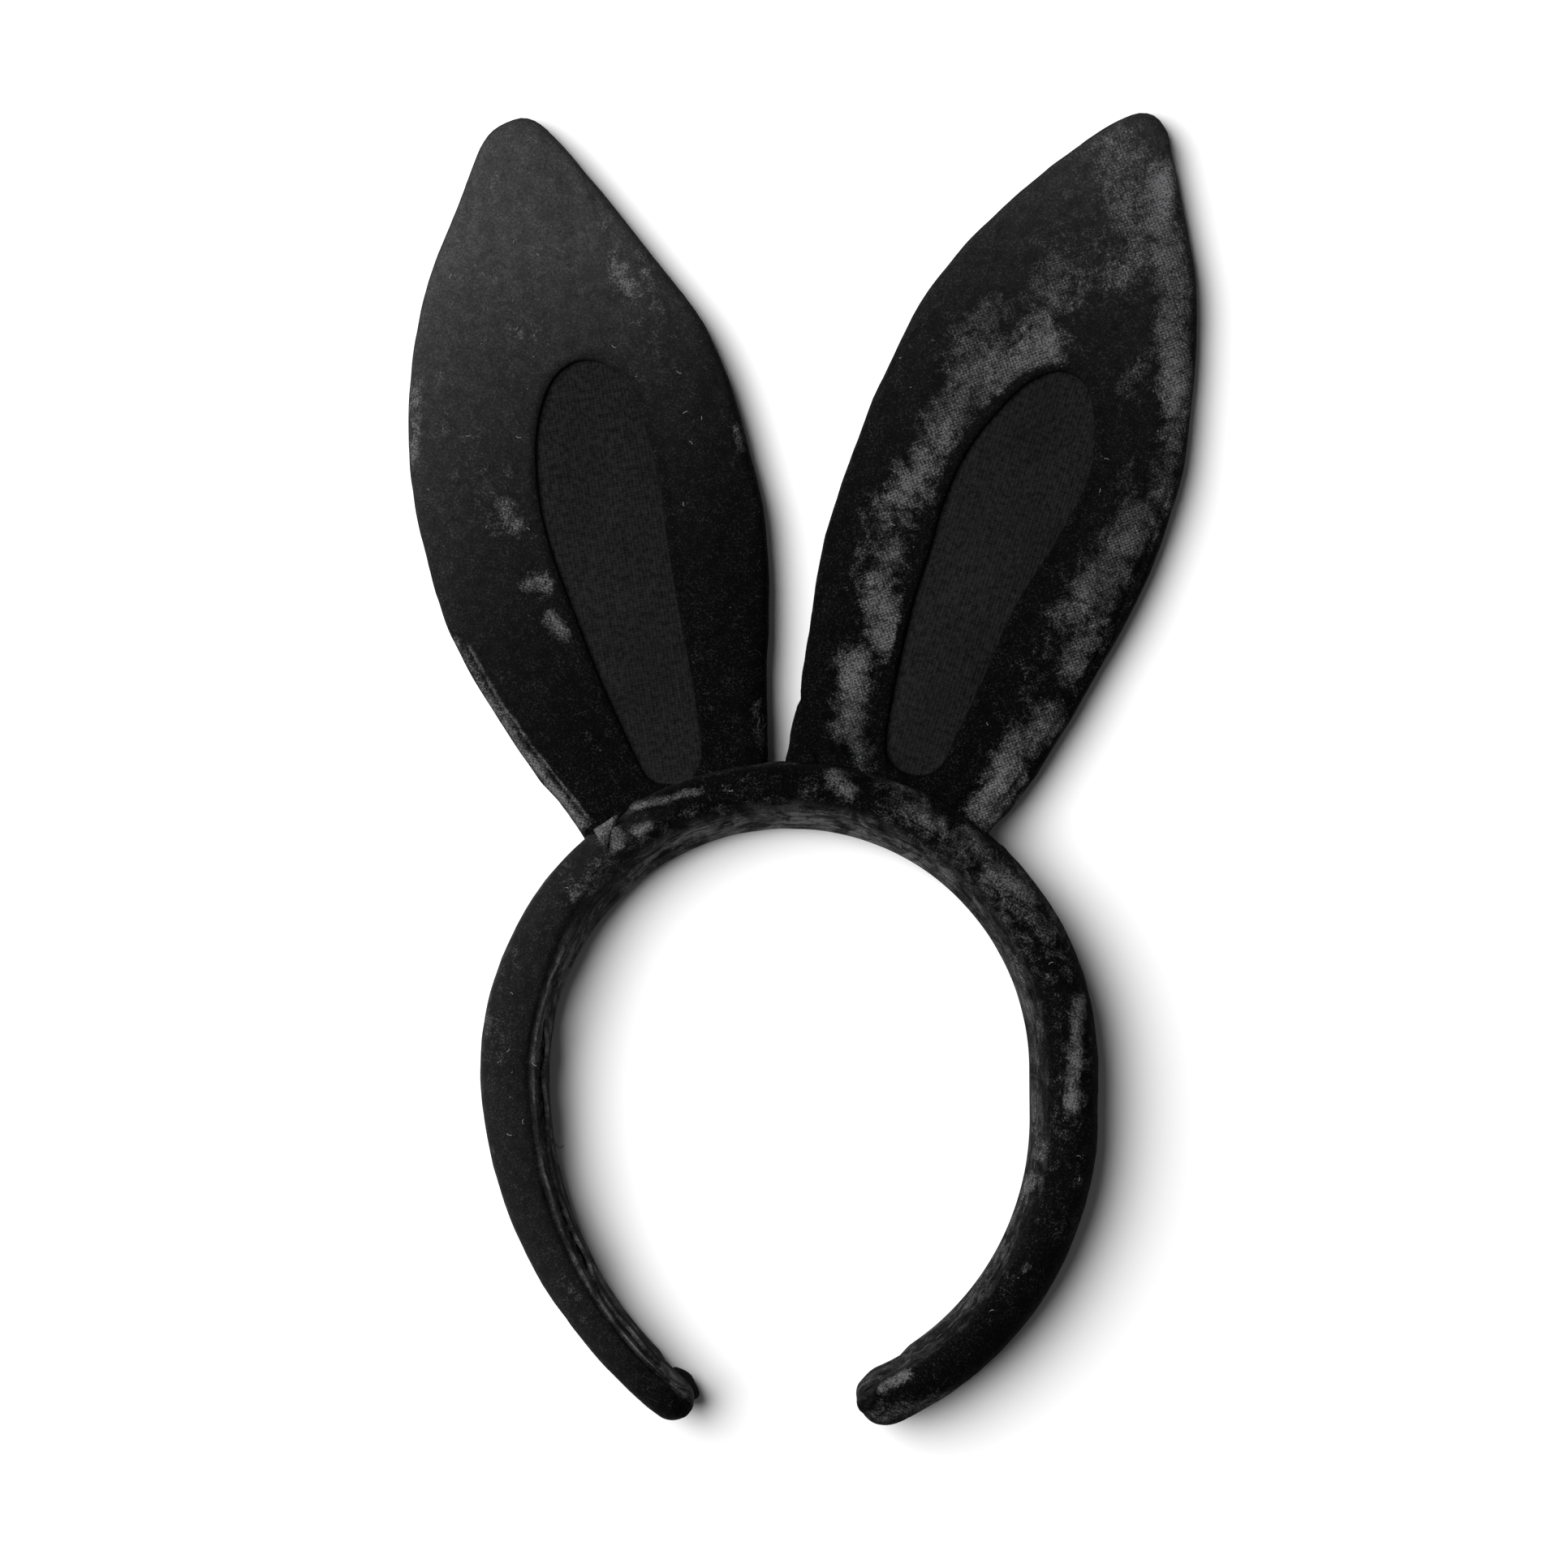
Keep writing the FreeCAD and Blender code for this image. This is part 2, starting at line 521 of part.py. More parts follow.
def foot_stitches(label, side):
    """Short stitches that point at the hoop, in a row along the top of the foot."""
    sign = 1 if side == "right" else -1
    body = new_body(label)
    sketch = new_sketch(body, "stitch", "XY_Plane")
    placed(sketch, "0 * slip", "0 * slip", "foot_thick / 2 + slip / 2", [((0, 0, 1), "0 * slip")], "AttachmentOffset")
    low = FOOT_IN + " + stitch_size"
    draw_box(sketch, low, low + " + foot_stitch_long", "-stitch_size / 2", "stitch_size / 2")
    pad = body.newObject("PartDesign::Pad", label + "_pad")
    pad.Profile = sketch
    pad.setExpression("Length", bound("stitch_size"))
    right = "%s_foot_%s - foot_side - 2 * stitch_size" % (side, "out" if sign > 0 else "in")
    left = "%s_foot_%s - foot_side - 2 * stitch_size" % (side, "in" if sign > 0 else "out")
    first = "acos((%s) / %s)" % (right, FOOT_IN)
    span = "(180 - acos((%s) / %s) / 1deg - %s / 1deg)" % (left, FOOT_IN, first)
    count = "floor(%s / foot_stitch_pitch)" % span
    row = body.newObject("PartDesign::PolarPattern", label + "_row")
    row.Originals = [pad]
    row.Axis = (sketch, ["N_Axis"])
    row.Mode = "Extent"
    row.setExpression("Occurrences", bound(count + " + 1"))
    row.setExpression("Angle", bound("foot_stitch_pitch * (%s)" % count))
    body.Tip = row
    # The row starts at the foot's right end: its turn joins the lean of the ear.
    lean = "(%d) * %s_lean" % (-sign, side)
    back = "%s * (1 - cos(ear_drop * 1deg))" % COVER_OUT
    x = "-sin(%s * 1deg) * %s" % (lean, back)
    y = "cos(%s * 1deg) * %s" % (lean, back)
    z = "table_gap + ear_rise + %s * sin(ear_drop * 1deg)" % COVER_OUT
    turns = [((0, 0, 1), lean), ((1, 0, 0), "-ear_drop"), ((0, 0, 1), "%s / 1deg" % first)]
    placed(body, x, y, z, turns)
    document.recompute()
    return body


pieces = []
inner_wide = "band_wide - 2 * cover_thick"
inner_tall = "band_tall - 2 * cover_thick"
core_room = "core_thick + 2 * slip"
for side in ("crown", "left", "right"):
    tip_wide = "band_wide" if side == "crown" else side + "_tip_wide"
    tip_tall = "band_tall" if side == "crown" else side + "_tip_tall"
    outer = slot_section(("band_wide", tip_wide), ("band_tall", tip_tall))
    inner = slot_section((inner_wide, tip_wide + " - 2 * cover_thick"), (inner_tall, tip_tall + " - 2 * cover_thick"))
    stuffing = slot_section(
        (inner_wide + " - 2 * slip", tip_wide + " - 2 * cover_thick - 2 * slip"),
        (inner_tall + " - 2 * slip", tip_tall + " - 2 * cover_thick - 2 * slip"),
    )
    spring = strip_section(("core_inset", "core_inset"), "core_thick", "core_tall")
    channel = strip_section(("core_inset", "core_inset"), core_room, "core_tall + 2 * slip")
    lining_shift = tuple("(%s) / 2 + slip + lining_thick / 2" % wide for wide in ("band_wide", tip_wide))
    lining = strip_section(lining_shift, "lining_thick", "lining_tall")
    pieces.append(band_piece("core_" + side, side, spring))
    pieces.append(band_piece("foam_" + side, side, stuffing, channel))
    pieces.append(band_piece("cover_" + side, side, outer, inner))
    pieces.append(band_piece("lining_" + side, side, lining))
    pieces.append(stitch_row("lining_stitches_" + side, side))
for side in ("left", "right"):
    pieces.append(end_cap("end_" + side, side))
    pieces.append(ear_front("ear_front_" + side, side))
    pieces.append(ear_back("ear_back_" + side, side))
    pieces.append(ear_pad("ear_pad_" + side, side))
    pieces.append(ear_insert("ear_insert_" + side, side))
    pieces.append(ear_wire("ear_wire_" + side, side))
    pieces.append(ear_foot("ear_foot_" + side, side))
    pieces.append(foot_stitches("foot_stitches_" + side, side))

document.recompute()
for item in document.Objects:
    if {"Invalid", "Error"} & set(item.State):
        raise RuntimeError("%s did not build: %s" % (item.Label, item.State))
os.makedirs("parts", exist_ok=True)
for piece in pieces:
    if piece.Shape.isNull() or not piece.Shape.isValid() or not piece.Shape.Solids:
        raise RuntimeError("%s is not a valid solid" % piece.Label)
    piece.Shape.exportStep("parts/%s.step" % piece.Label)
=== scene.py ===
import json
import math

import bmesh
import bpy
from bpy.props import FloatProperty, FloatVectorProperty, IntProperty, PointerProperty
from mathutils import Matrix, Vector, noise


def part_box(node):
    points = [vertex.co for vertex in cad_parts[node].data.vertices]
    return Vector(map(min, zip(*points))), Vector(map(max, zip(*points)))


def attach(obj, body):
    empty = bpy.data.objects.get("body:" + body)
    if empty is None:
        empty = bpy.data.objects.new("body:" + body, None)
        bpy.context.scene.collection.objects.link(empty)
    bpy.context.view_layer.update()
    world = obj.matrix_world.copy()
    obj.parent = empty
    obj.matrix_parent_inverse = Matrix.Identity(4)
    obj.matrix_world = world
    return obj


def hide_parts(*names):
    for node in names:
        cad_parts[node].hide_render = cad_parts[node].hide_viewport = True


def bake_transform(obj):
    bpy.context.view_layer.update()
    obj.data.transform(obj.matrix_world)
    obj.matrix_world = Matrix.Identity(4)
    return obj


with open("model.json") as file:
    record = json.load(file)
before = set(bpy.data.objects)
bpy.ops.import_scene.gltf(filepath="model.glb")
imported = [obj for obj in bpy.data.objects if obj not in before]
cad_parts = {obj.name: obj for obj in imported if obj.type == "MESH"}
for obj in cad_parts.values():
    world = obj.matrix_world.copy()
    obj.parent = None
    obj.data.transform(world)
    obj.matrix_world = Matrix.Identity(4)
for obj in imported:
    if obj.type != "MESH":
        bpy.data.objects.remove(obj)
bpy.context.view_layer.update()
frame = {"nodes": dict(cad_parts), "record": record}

bl_info = {
    "name": "Velvet Ears Headband",
    "version": (1, 0, 0),
    "blender": (4, 5, 0),
    "location": "View3D > Sidebar > Headband",
    "description": "Builds the sewn velvet, knit and thread of an animal ears headband on its packed frame",
    "category": "Object",
}

MM = 0.001
RECORD = frame["record"]
SIDES = ("left", "right")

# The band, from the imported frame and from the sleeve's own middle line.
OPENING = RECORD["mounts"][0]
HOOP = Vector((OPENING["pos_m"][0], OPENING["pos_m"][1], 0.0))  # the middle of the hoop, on the table
HEAD_RADIUS = OPENING["dims"]["r_mm"] * MM
LINING_GAP, HALF_BAND = 1.1 * MM, 8 * MM
MIDDLE_RADIUS = HEAD_RADIUS + LINING_GAP + HALF_BAND
BAND_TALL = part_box("cover_crown")[1][2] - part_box("cover_crown")[0][2]
HINGES = {joint["child"]: joint for joint in RECORD["behaviour"]["joints"]}
CROWN_SPLIT = {"left": math.radians(2.4), "right": -math.radians(2.4)}  # the halves meet between the ears
# beyond the hoop each arm runs straight, then turns on its own radius
ARMS = {"left": (0.0, 104.6 * MM, math.radians(51.6)), "right": (12 * MM, 76.5 * MM, math.radians(64.4))}
TIP_TUCK = 3 * MM  # the lining stops this far short of the tip

# How finely each cover is meshed: points round it, and rows along it.
SLEEVE_ROUND, SLEEVE_ROWS, TIP_ROWS = 88, 260, 14
SLEEVE_GIRTH = 72 * MM
LINING_ROUND, LINING_ROWS = 12, 200
EAR_ROUND, EAR_FRONT_ROWS, EAR_BACK_ROWS = 240, 30, 22
INSERT_ROUND, INSERT_ROWS = 80, 26

EDGE_POWER = 2.3  # how squarely the stuffing fills an ear's edge

# Cloth comes no nearer to the table than this.
CLOTH_FLOOR, SETTLED_FLOOR = 0.25 * MM, 0.3 * MM
RAY_START = 60 * MM  # small pieces are laid on the cloth from this height
VELVET_CLOTH = {
    "quality": 4, "mass": 0.15, "tension_stiffness": 20, "compression_stiffness": 20, "shear_stiffness": 8,
    "bending_stiffness": 2.5,
}

# Materials.
VELVET_PITCH, KNIT_PITCH = 0.85 * MM, 0.92 * MM
WAVE_REPEAT = 0.314  # a wave texture of scale 1 repeats at this many metres
LINT_GREY = (0.1, 0.1, 0.1)
STROKE_REACH, STROKE_FADE = 2.4, 0.62  # a stroke ends at this many half widths, and fades at this rate

# Outlines of the sewn pieces, in millimetres from the middle of the hoop, from an ear's foot round its tip.
EAR_OUTLINES = {
    "left": [
        (-48.4, 55.6), (-56.0, 65.0), (-65.4, 77.0), (-76.4, 93.3), (-85.0, 109.6), (-90.3, 126.0),
        (-94.3, 142.3), (-95.8, 158.6), (-95.2, 174.9), (-92.8, 191.2), (-87.5, 207.6), (-81.1, 223.5),
        (-77.9, 231.8), (-74.2, 236.9), (-67.8, 239.4), (-62.7, 237.6), (-57.0, 232.0), (-50.1, 223.9),
        (-37.2, 207.6), (-24.0, 191.2), (-16.0, 174.9), (-11.3, 158.6), (-7.0, 142.3), (-5.4, 126.0),
        (-5.2, 109.6), (-5.8, 93.3), (-6.0, 82.0), (-7.0, 73.5), (-18.0, 70.8), (-30.0, 66.4),
        (-41.0, 60.2),
    ],
    "right": [
        (46.6, 56.8), (51.6, 62.0), (58.2, 68.8), (69.3, 85.2), (78.6, 101.5), (87.2, 117.8),
        (94.1, 134.1), (99.0, 150.4), (101.1, 166.8), (102.5, 183.1), (102.5, 199.4), (99.2, 215.7),
        (96.2, 231.0), (95.4, 236.0), (91.6, 240.6), (84.8, 240.0), (72.8, 232.4), (61.9, 224.1),
        (44.3, 207.6), (32.1, 191.2), (23.9, 174.9), (17.4, 158.6), (11.5, 142.3), (7.5, 126.0),
        (4.8, 109.6), (1.9, 93.3), (-0.4, 82.0), (-0.6, 73.4), (12.0, 72.4), (24.0, 68.6), (37.0, 62.6),
    ],
}
WINDOW_OUTLINES = {
    "left": [
        (-36.6, 74.6), (-41.0, 83.4), (-48.2, 99.4), (-54.6, 115.8), (-59.7, 130.0), (-62.7, 142.3),
        (-63.7, 154.5), (-62.7, 164.7), (-59.7, 172.9), (-55.6, 177.0), (-51.1, 178.4), (-45.8, 177.0),
        (-41.3, 172.9), (-35.8, 160.6), (-32.3, 146.4), (-30.1, 130.0), (-27.2, 113.7), (-24.6, 99.4),
        (-22.4, 85.2), (-22.0, 78.0), (-24.2, 73.4), (-28.8, 71.6), (-33.4, 72.0),
    ],
    "right": [
        (40.2, 80.0), (44.0, 88.0), (48.4, 97.0), (56.6, 115.8), (66.8, 132.1), (73.9, 145.4),
        (76.6, 154.5), (76.8, 163.7), (74.6, 171.9), (68.8, 175.5), (61.7, 173.5), (54.6, 167.8),
        (45.4, 156.6), (39.3, 144.3), (35.0, 130.0), (30.1, 113.7), (25.6, 93.3), (24.0, 81.5),
        (25.6, 76.6), (30.0, 74.0), (35.0, 74.2), (38.4, 76.6),
    ],
}
TIPS = {"left": (-67.8, 239.2), "right": (91.6, 239.6)}
WINDOW_TOPS = {"left": (-51.1, 178.4), "right": (68.8, 175.5)}
FOOT_MIDDLES = {"left": (-29.2, 67.0), "right": (24.2, 68.6)}

# Painted sheen where the pile lies crushed and catches the light, and thin painted highlights along seams, as
# strokes: from x, y to x, y, half width and strength.
EAR_STROKES = {
    "left": [
        (-43, 203, -40, 196, 3.4, 0.66), (-38, 205, -34, 198, 3, 0.55), (-46, 211, -43, 206, 2.4, 0.5),
        (-36, 196, -28, 184, 4, 0.34), (-66, 185, -63, 183, 3, 0.5), (-94, 171, -94, 154, 2.2, 0.6),
        (-71, 141, -68, 136, 3.5, 0.65), (-71, 149, -69, 146, 2.5, 0.4), (-65, 122, -61, 122, 2.6, 0.85),
        (-60, 113, -57, 110, 2.4, 0.9), (-13, 160, -12, 156, 1.6, 0.7), (-88, 168, -74, 138, 6, 0.3),
        (-78, 200, -76, 197, 4, 0.3), (-8, 92, -7, 82, 2, 0.5), (-84, 108, -75.2, 92.5, 1.3, 0.75),
        (-75.2, 92.5, -63.7, 76, 1.5, 1.0), (-63.7, 76, -52, 61.5, 1.6, 1.15),
        (-80.6, 106.6, -72.6, 92.4, 0.5, 0.8), (-72.6, 92.4, -60.8, 76.4, 0.5, 0.95),
        (-60.8, 76.4, -50, 63, 0.5, 0.9), (-38, 186, -34, 182, 3, 0.35), (-40, 172, -37, 168, 1.6, 0.5),
        (-52, 88, -46, 78, 3, 0.3),
    ],
    "right": [
        (83, 230, 88, 206, 8, 0.72), (92, 224, 97, 190, 6, 0.92), (95, 192, 98, 166, 4.6, 0.95),
        (98, 164, 93, 143, 4, 0.75), (74, 207, 84, 199, 7, 0.5), (70, 218, 74, 210, 5, 0.4),
        (68, 198, 61, 181, 6.5, 0.85), (64, 182, 46, 172, 6.5, 0.98), (46, 173, 38, 161, 5.5, 0.9),
        (52, 191, 44, 180, 5, 0.6), (41, 158, 34, 154, 4, 0.8), (36, 153, 25, 141, 5.5, 0.85),
        (28, 141, 25, 124, 6, 0.68), (20, 138, 17, 124, 3, 0.55), (22, 122, 25, 107, 5, 0.97),
        (17, 103, 14, 86, 4.4, 0.97), (16, 88, 19, 76, 3.2, 0.7), (87, 138, 79, 124, 5.5, 0.96),
        (80, 126, 71, 114, 5.5, 0.92), (79, 118, 70, 99, 4.6, 0.75), (66, 108, 61, 95, 4, 0.5),
        (65, 88, 55, 79, 4.5, 0.92), (56, 80, 49, 63, 4.2, 0.96), (85, 149, 83, 141, 4, 0.5),
        (90, 178, 84, 172, 4, 0.45), (58, 101, 60, 92, 3, 0.5),
    ],
}
BAND_STROKES = [
    (-47, 62, -43, 57, 2.6, 0.95), (-38, 60.5, -35, 61, 1.8, 0.85), (-39, 66, -22, 70, 1.2, 0.8),
    (-9, 67, -2, 68, 2.4, 0.5), (11, 73, 14, 70, 3, 0.9), (19, 75, 34, 69, 1.6, 0.6),
    (31, 65, 36, 61, 4, 0.9), (27, 62, 24, 63, 2.4, 0.6), (46, 57, 50, 53, 3.6, 0.6),
    (50, 50, 60, 44, 3.8, 0.75), (46, 48, 50, 45, 2.6, 0.5), (60, 49, 62, 42, 2.4, 0.5),
    (63, 34, 65, 32, 2, 0.6), (72, 18, 70, -8, 2.2, 0.97), (62, 12, 61.6, -10, 1.6, 0.65),
    (75, 10, 73, -12, 2.0, 0.4), (44, 52, 58, 32, 2.0, 0.45), (61.5, -12, 62.5, -21, 1.6, 0.8),
    (60, -27, 46, -56, 2.4, 1.0), (42, -60, 29, -71, 1.5, 0.75), (29, -75.4, 23, -78.2, 1.5, 0.98),
    (40, -81, 20, -86.6, 2.6, 0.72), (-22, 73.4, -8, 76.4, 0.5, 0.6), (-8, 76.6, 8, 77, 0.45, 0.6),
    (8, 77, 20, 75, 0.5, 0.65), (38, 68, 47, 61.5, 0.5, 0.6), (-76, 22, -75, 10, 1.6, 0.5),
    (-63, 45, -72, 32, 1.6, 0.4), (38, 58, 46, 46, 2.4, 0.55), (52, 56, 66, 40, 1.8, 0.5),
    (68, 28, 70, 22, 2.4, 0.45), (67, 5, 66, -8, 2.0, 0.3), (5, 72, 9, 68, 2.2, 0.45),
    (-32, 58, -26, 62, 2.0, 0.45), (22, 66, 26, 64, 2.2, 0.6), (41, 60, 45, 56, 2.6, 0.55),
    (59, -48, 50, -60, 2.2, 0.35), (-46, -52, -34, -68, 0.9, 0.4), (-60, -44, -52, -58, 2.4, 0.3),
    (70, -30, 66, -42, 2.2, 0.35), (-55, 43, -46, 51, 2.6, 0.55), (30, 66, 66, 34, 7, 0.5),
    (66, 34, 69, -10, 5, 0.36), (-46, 52, -20, 66, 4, 0.36), (-20, 70, 26, 70, 4, 0.3),
    (68, -10, 58, -46, 5, 0.25), (44, 60, 54, 50, 2.4, 0.7), (57, 52, 63, 44, 1.6, 0.6),
    (-70, 30, -76, 4, 4, 0.3), (-78, -6, -70, -34, 3, 0.22), (-50, 44, -42, 50, 1.6, 0.6),
    (-72, 30, -70, 24, 3.5, 0.35), (-58, 46, -57, 50, 3, 0.4), (-20, 66, -15, 65, 1.8, 0.5),
    (55, 30, 58, 22, 1.2, 0.7), (30, 58, 45, 45, 1.6, 0.75), (73, -20, 70, -40, 1.6, 0.35),
]

# The seam that joins an ear's front to the edge of its back, where that edge rolls round to the front.
EAR_CREASES = {
    "left": [
        ([(-83.0, 110.0), (-77.6, 99.0), (-70.6, 88.6), (-62.2, 77.6), (-54.8, 68.4), (-49.6, 61.0)],
         0.75, 0.9, 4.0),
    ],
    "right": [
        ([(95.6, 146.0), (91.6, 134.0), (85.0, 118.4), (76.6, 102.4), (67.2, 86.4), (56.4, 70.4),
          (50.6, 63.4)],
         0.6, 0.5, 4.0),
        ([(52.0, 72.0), (47.0, 70.0), (43.0, 66.5)], 1.2, 0.8, 4.0),
        ([(6.0, 82.0), (9.0, 77.0)], 1.2, 0.7, 4.0),
        ([(15.0, 82.0), (16.0, 76.0)], 1.2, 0.7, 4.0),
    ],
}

# Creases pressed into the velvet, in millimetres: points, half width, depth, and the level above which they run.
CREASES = [
    ([(-44.5, 62.5), (-40.5, 64.2), (-35.0, 64.0), (-31.0, 66.0)], 1.3, 1.3, 14.0),
    ([(-48.5, 59.5), (-46.5, 63.5), (-45.5, 67.0)], 1.0, 0.7, 12.0),
    ([(29.0, -71.6), (24.5, -74.4), (20.4, -77.6), (18.6, -81.5)], 1.2, 1.3, 11.0),
    ([(30.5, -76.6), (25.6, -79.0), (21.8, -82.0)], 1.1, 0.7, 12.0),
    ([(-30.0, -76.0), (-27.4, -80.0), (-26.6, -84.0)], 1.0, 0.8, 12.0),
    ([(42.0, 56.0), (46.0, 59.5), (52.0, 57.5)], 1.2, 0.7, 12.0),
    ([(33.0, 67.0), (40.0, 63.5), (45.0, 58.0)], 1.2, 0.6, 14.0),
    ([(44.0, -57.0), (47.5, -59.0), (53.0, -60.0)], 1.4, 0.6, 12.0),
]


class HEADBAND_PG_sizes(bpy.types.PropertyGroup):
    """Sizes and colours of the sewn headband"""

    sleeve_width: FloatProperty(
        name="Sleeve width", description="Width of the padded band at the crown, from head side to outside",
        default=16.6 * MM, min=0.005, unit="LENGTH")
    left_tip_width: FloatProperty(
        name="Left tip width", description="Width of the left arm at its pinched end", default=11.0 * MM,
        unit="LENGTH")
    right_tip_width: FloatProperty(
        name="Right tip width", description="Width of the right arm at its rounded end", default=14.4 * MM,
        unit="LENGTH")
    ridge_height: FloatProperty(
        name="Ridge height", description="How far the fold along the top of the band stands up",
        default=0.7 * MM, unit="LENGTH")
    ear_top: FloatProperty(
        name="Ear top", description="Height of an ear's front above its wire", default=4.6 * MM,
        unit="LENGTH")
    ear_low: FloatProperty(
        name="Ear underside", description="Depth of an ear's back below its wire", default=4.0 * MM,
        unit="LENGTH")
    ear_edge: FloatProperty(
        name="Ear edge", description="Width of the rounded edge of an ear", default=7.0 * MM, unit="LENGTH")
    ear_rise: FloatProperty(
        name="Ear rise", description="Height of the ears' feet above the table", default=9.6 * MM,
        unit="LENGTH")
    ear_drop: FloatProperty(
        name="Ear drop", description="How much the ears slope down towards their tips",
        default=math.radians(1.5), subtype="ANGLE")
    insert_drop: FloatProperty(
        name="Insert drop", description="How far the knitted insert lies below the velvet", default=1.7 * MM,
        unit="LENGTH")
    lining_thick: FloatProperty(
        name="Lining thickness", description="Thickness of the strip on the head side", default=0.9 * MM,
        unit="LENGTH")
    stitch_pitch: FloatProperty(
        name="Stitch pitch", description="Distance from one hem stitch to the next", default=4.2 * MM,
        unit="LENGTH")
    puff: FloatProperty(
        name="Stuffing pressure", description="How hard the stuffing presses on the velvet",
        default=4.0, min=0.0)
    puff_frames: IntProperty(
        name="Settling frames", description="Frames for which the stuffed velvet settles",
        default=20, min=2)
    velvet_dark: FloatVectorProperty(
        name="Velvet shade", description="Colour of the velvet where its pile stands up", subtype="COLOR",
        default=(0.0009, 0.0009, 0.001), min=0, max=1)
    # painted sheen: the colour given to the velvet where its pile is crushed and catches the light
    velvet_light: FloatVectorProperty(
        name="Velvet shine", description="Colour of the velvet where its pile is crushed", subtype="COLOR",
        default=(0.11, 0.11, 0.113), min=0, max=1)
    knit_colour: FloatVectorProperty(
        name="Knit colour", description="Colour of the knitted inserts", subtype="COLOR",
        default=(0.0078, 0.0078, 0.0081), min=0, max=1)


def sizes():
    return bpy.context.scene.headband


# ---------------------------------------------------------------- shapes


def ease(value):
    value = min(max(value, 0.0), 1.0)
    return value * value * (3 - 2 * value)


def mix(low, high, share):
    return low + (high - low) * share


def smooth_loop(points, steps=12):
    """A closed Catmull-Rom line through a few points."""
    count, out = len(points), []
    for n in range(count):
        a, b, c, d = (points[(n + k) % count] for k in (-1, 0, 1, 2))
        for step in range(steps):
            t = step / steps
            curve = 2 * b + (c - a) * t + (2 * a - 5 * b + 4 * c - d) * t * t + (3 * b - a - 3 * c + d) * t**3
            out.append(0.5 * curve)
    return out


def even_line(points, count):
    """count points at equal distances along an open line, both ends included."""
    lengths = [0.0]
    for one, other in zip(points, points[1:]):
        lengths.append(lengths[-1] + (other - one).length)
    out, n = [], 0
    for k in range(count):
        wanted = lengths[-1] * k / (count - 1)
        while n < len(points) - 2 and lengths[n + 1] < wanted:
            n += 1
        span = max(lengths[n + 1] - lengths[n], 1e-9)
        out.append(points[n].lerp(points[n + 1], (wanted - lengths[n]) / span))
    return out


def halves(outline, top, foot, count):
    """A closed loop of 2 * count points that starts at top, with the point nearest foot half way round."""
    line = smooth_loop([Vector((x * MM, y * MM, 0)) + HOOP for x, y in outline])
    top, foot = (Vector((p[0] * MM, p[1] * MM, 0)) + HOOP for p in (top, foot))
    start = min(range(len(line)), key=lambda n: (line[n] - top).length)
    line = line[start:] + line[:start]
    turn = min(range(len(line)), key=lambda n: (line[n] - foot).length)
    first = even_line(line[: turn + 1], count + 1)
    second = even_line(line[turn:] + line[:1], count + 1)
    return first[:-1] + second[:-1]


def wrap(name, rings, marks=None):
    """A closed mesh wound from a sheet whose rows are laid on the rings, with marks stored on its points."""
    rows, count = len(rings), len(rings[0])
    shape = bmesh.new()
    bmesh.ops.create_grid(shape, x_segments=count, y_segments=rows - 1, size=1)
    layers = {word: shape.verts.layers.float.new(word) for word in marks or {}}
    for n, vert in enumerate(shape.verts):
        row, column = divmod(n, count + 1)
        vert.co = rings[row][column % count]
        for word, layer in layers.items():
            value = marks[word][row]
            vert[layer] = value[column % count] if isinstance(value, list) else value
    bmesh.ops.remove_doubles(shape, verts=shape.verts, dist=1e-7)
    open_edges = [edge for edge in shape.edges if edge.is_boundary]
    filled = bmesh.ops.holes_fill(shape, edges=open_edges, sides=0)["faces"]
    bmesh.ops.triangulate(shape, faces=filled)
    bmesh.ops.recalc_face_normals(shape, faces=shape.faces)
    piece = finish_shape(name, shape)
    piece.data.set_sharp_from_angle(angle=math.radians(70))
    return piece


def finish_shape(name, shape, smooth=True):
    mesh = bpy.data.meshes.new(name)
    shape.to_mesh(mesh)
    shape.free()
    piece = bpy.data.objects.new(name, mesh)
    bpy.context.scene.collection.objects.link(piece)
    if smooth:
        mesh.shade_smooth()
    return piece


def put_on(piece, material):
    piece.data.materials.clear()
    piece.data.materials.append(material)


def from_stroke(x, y, stroke):
    """Distance from a stroke's middle line, as a share of its half width."""
    ax, ay, bx, by, wide = stroke[:5]
    dx, dy = bx - ax, by - ay
    share = min(max(((x - ax) * dx + (y - ay) * dy) / (dx * dx + dy * dy), 0.0), 1.0)
    return math.hypot(x - ax - share * dx, y - ay - share * dy) / wide


def mark_pile(piece, strokes, painted_light, calm=lambda point: 1.0):
    """Writes the painted sheen of the crushed pile, and the painted light over it, to the mesh for its material to
    read.
    """
    mesh = piece.data
    for word in ("crush_sheen", "painted_light"):
        mesh.attributes.new(word, "FLOAT", "POINT")
    crush_sheen, veil = mesh.attributes["crush_sheen"], mesh.attributes["painted_light"]
    for n, vert in enumerate(mesh.vertices):
        x, y = (vert.co.x - HOOP.x) / MM, (vert.co.y - HOOP.y) / MM
        amount = 0.0
        for stroke in strokes:
            away = from_stroke(x, y, stroke)
            if away < STROKE_REACH:
                amount = max(amount, stroke[5] * math.exp(-STROKE_FADE * away * away))
        # near a hem the sheen and the painted light are lowered: painted shade
        still = calm(vert.co)
        turned = ease((vert.normal.z + 0.1) / 0.5)  # the sides and the back get only a faint, even mottle of painted sheen, and less painted light than the top
        crush_sheen.data[n].value = max(amount * still * mix(0.35, 1.0, turned), 0.32 * (1 - turned))
        veil.data[n].value = painted_light(x, y) * mix(0.6, 1.0, still) * mix(0.4, 1.0, turned)


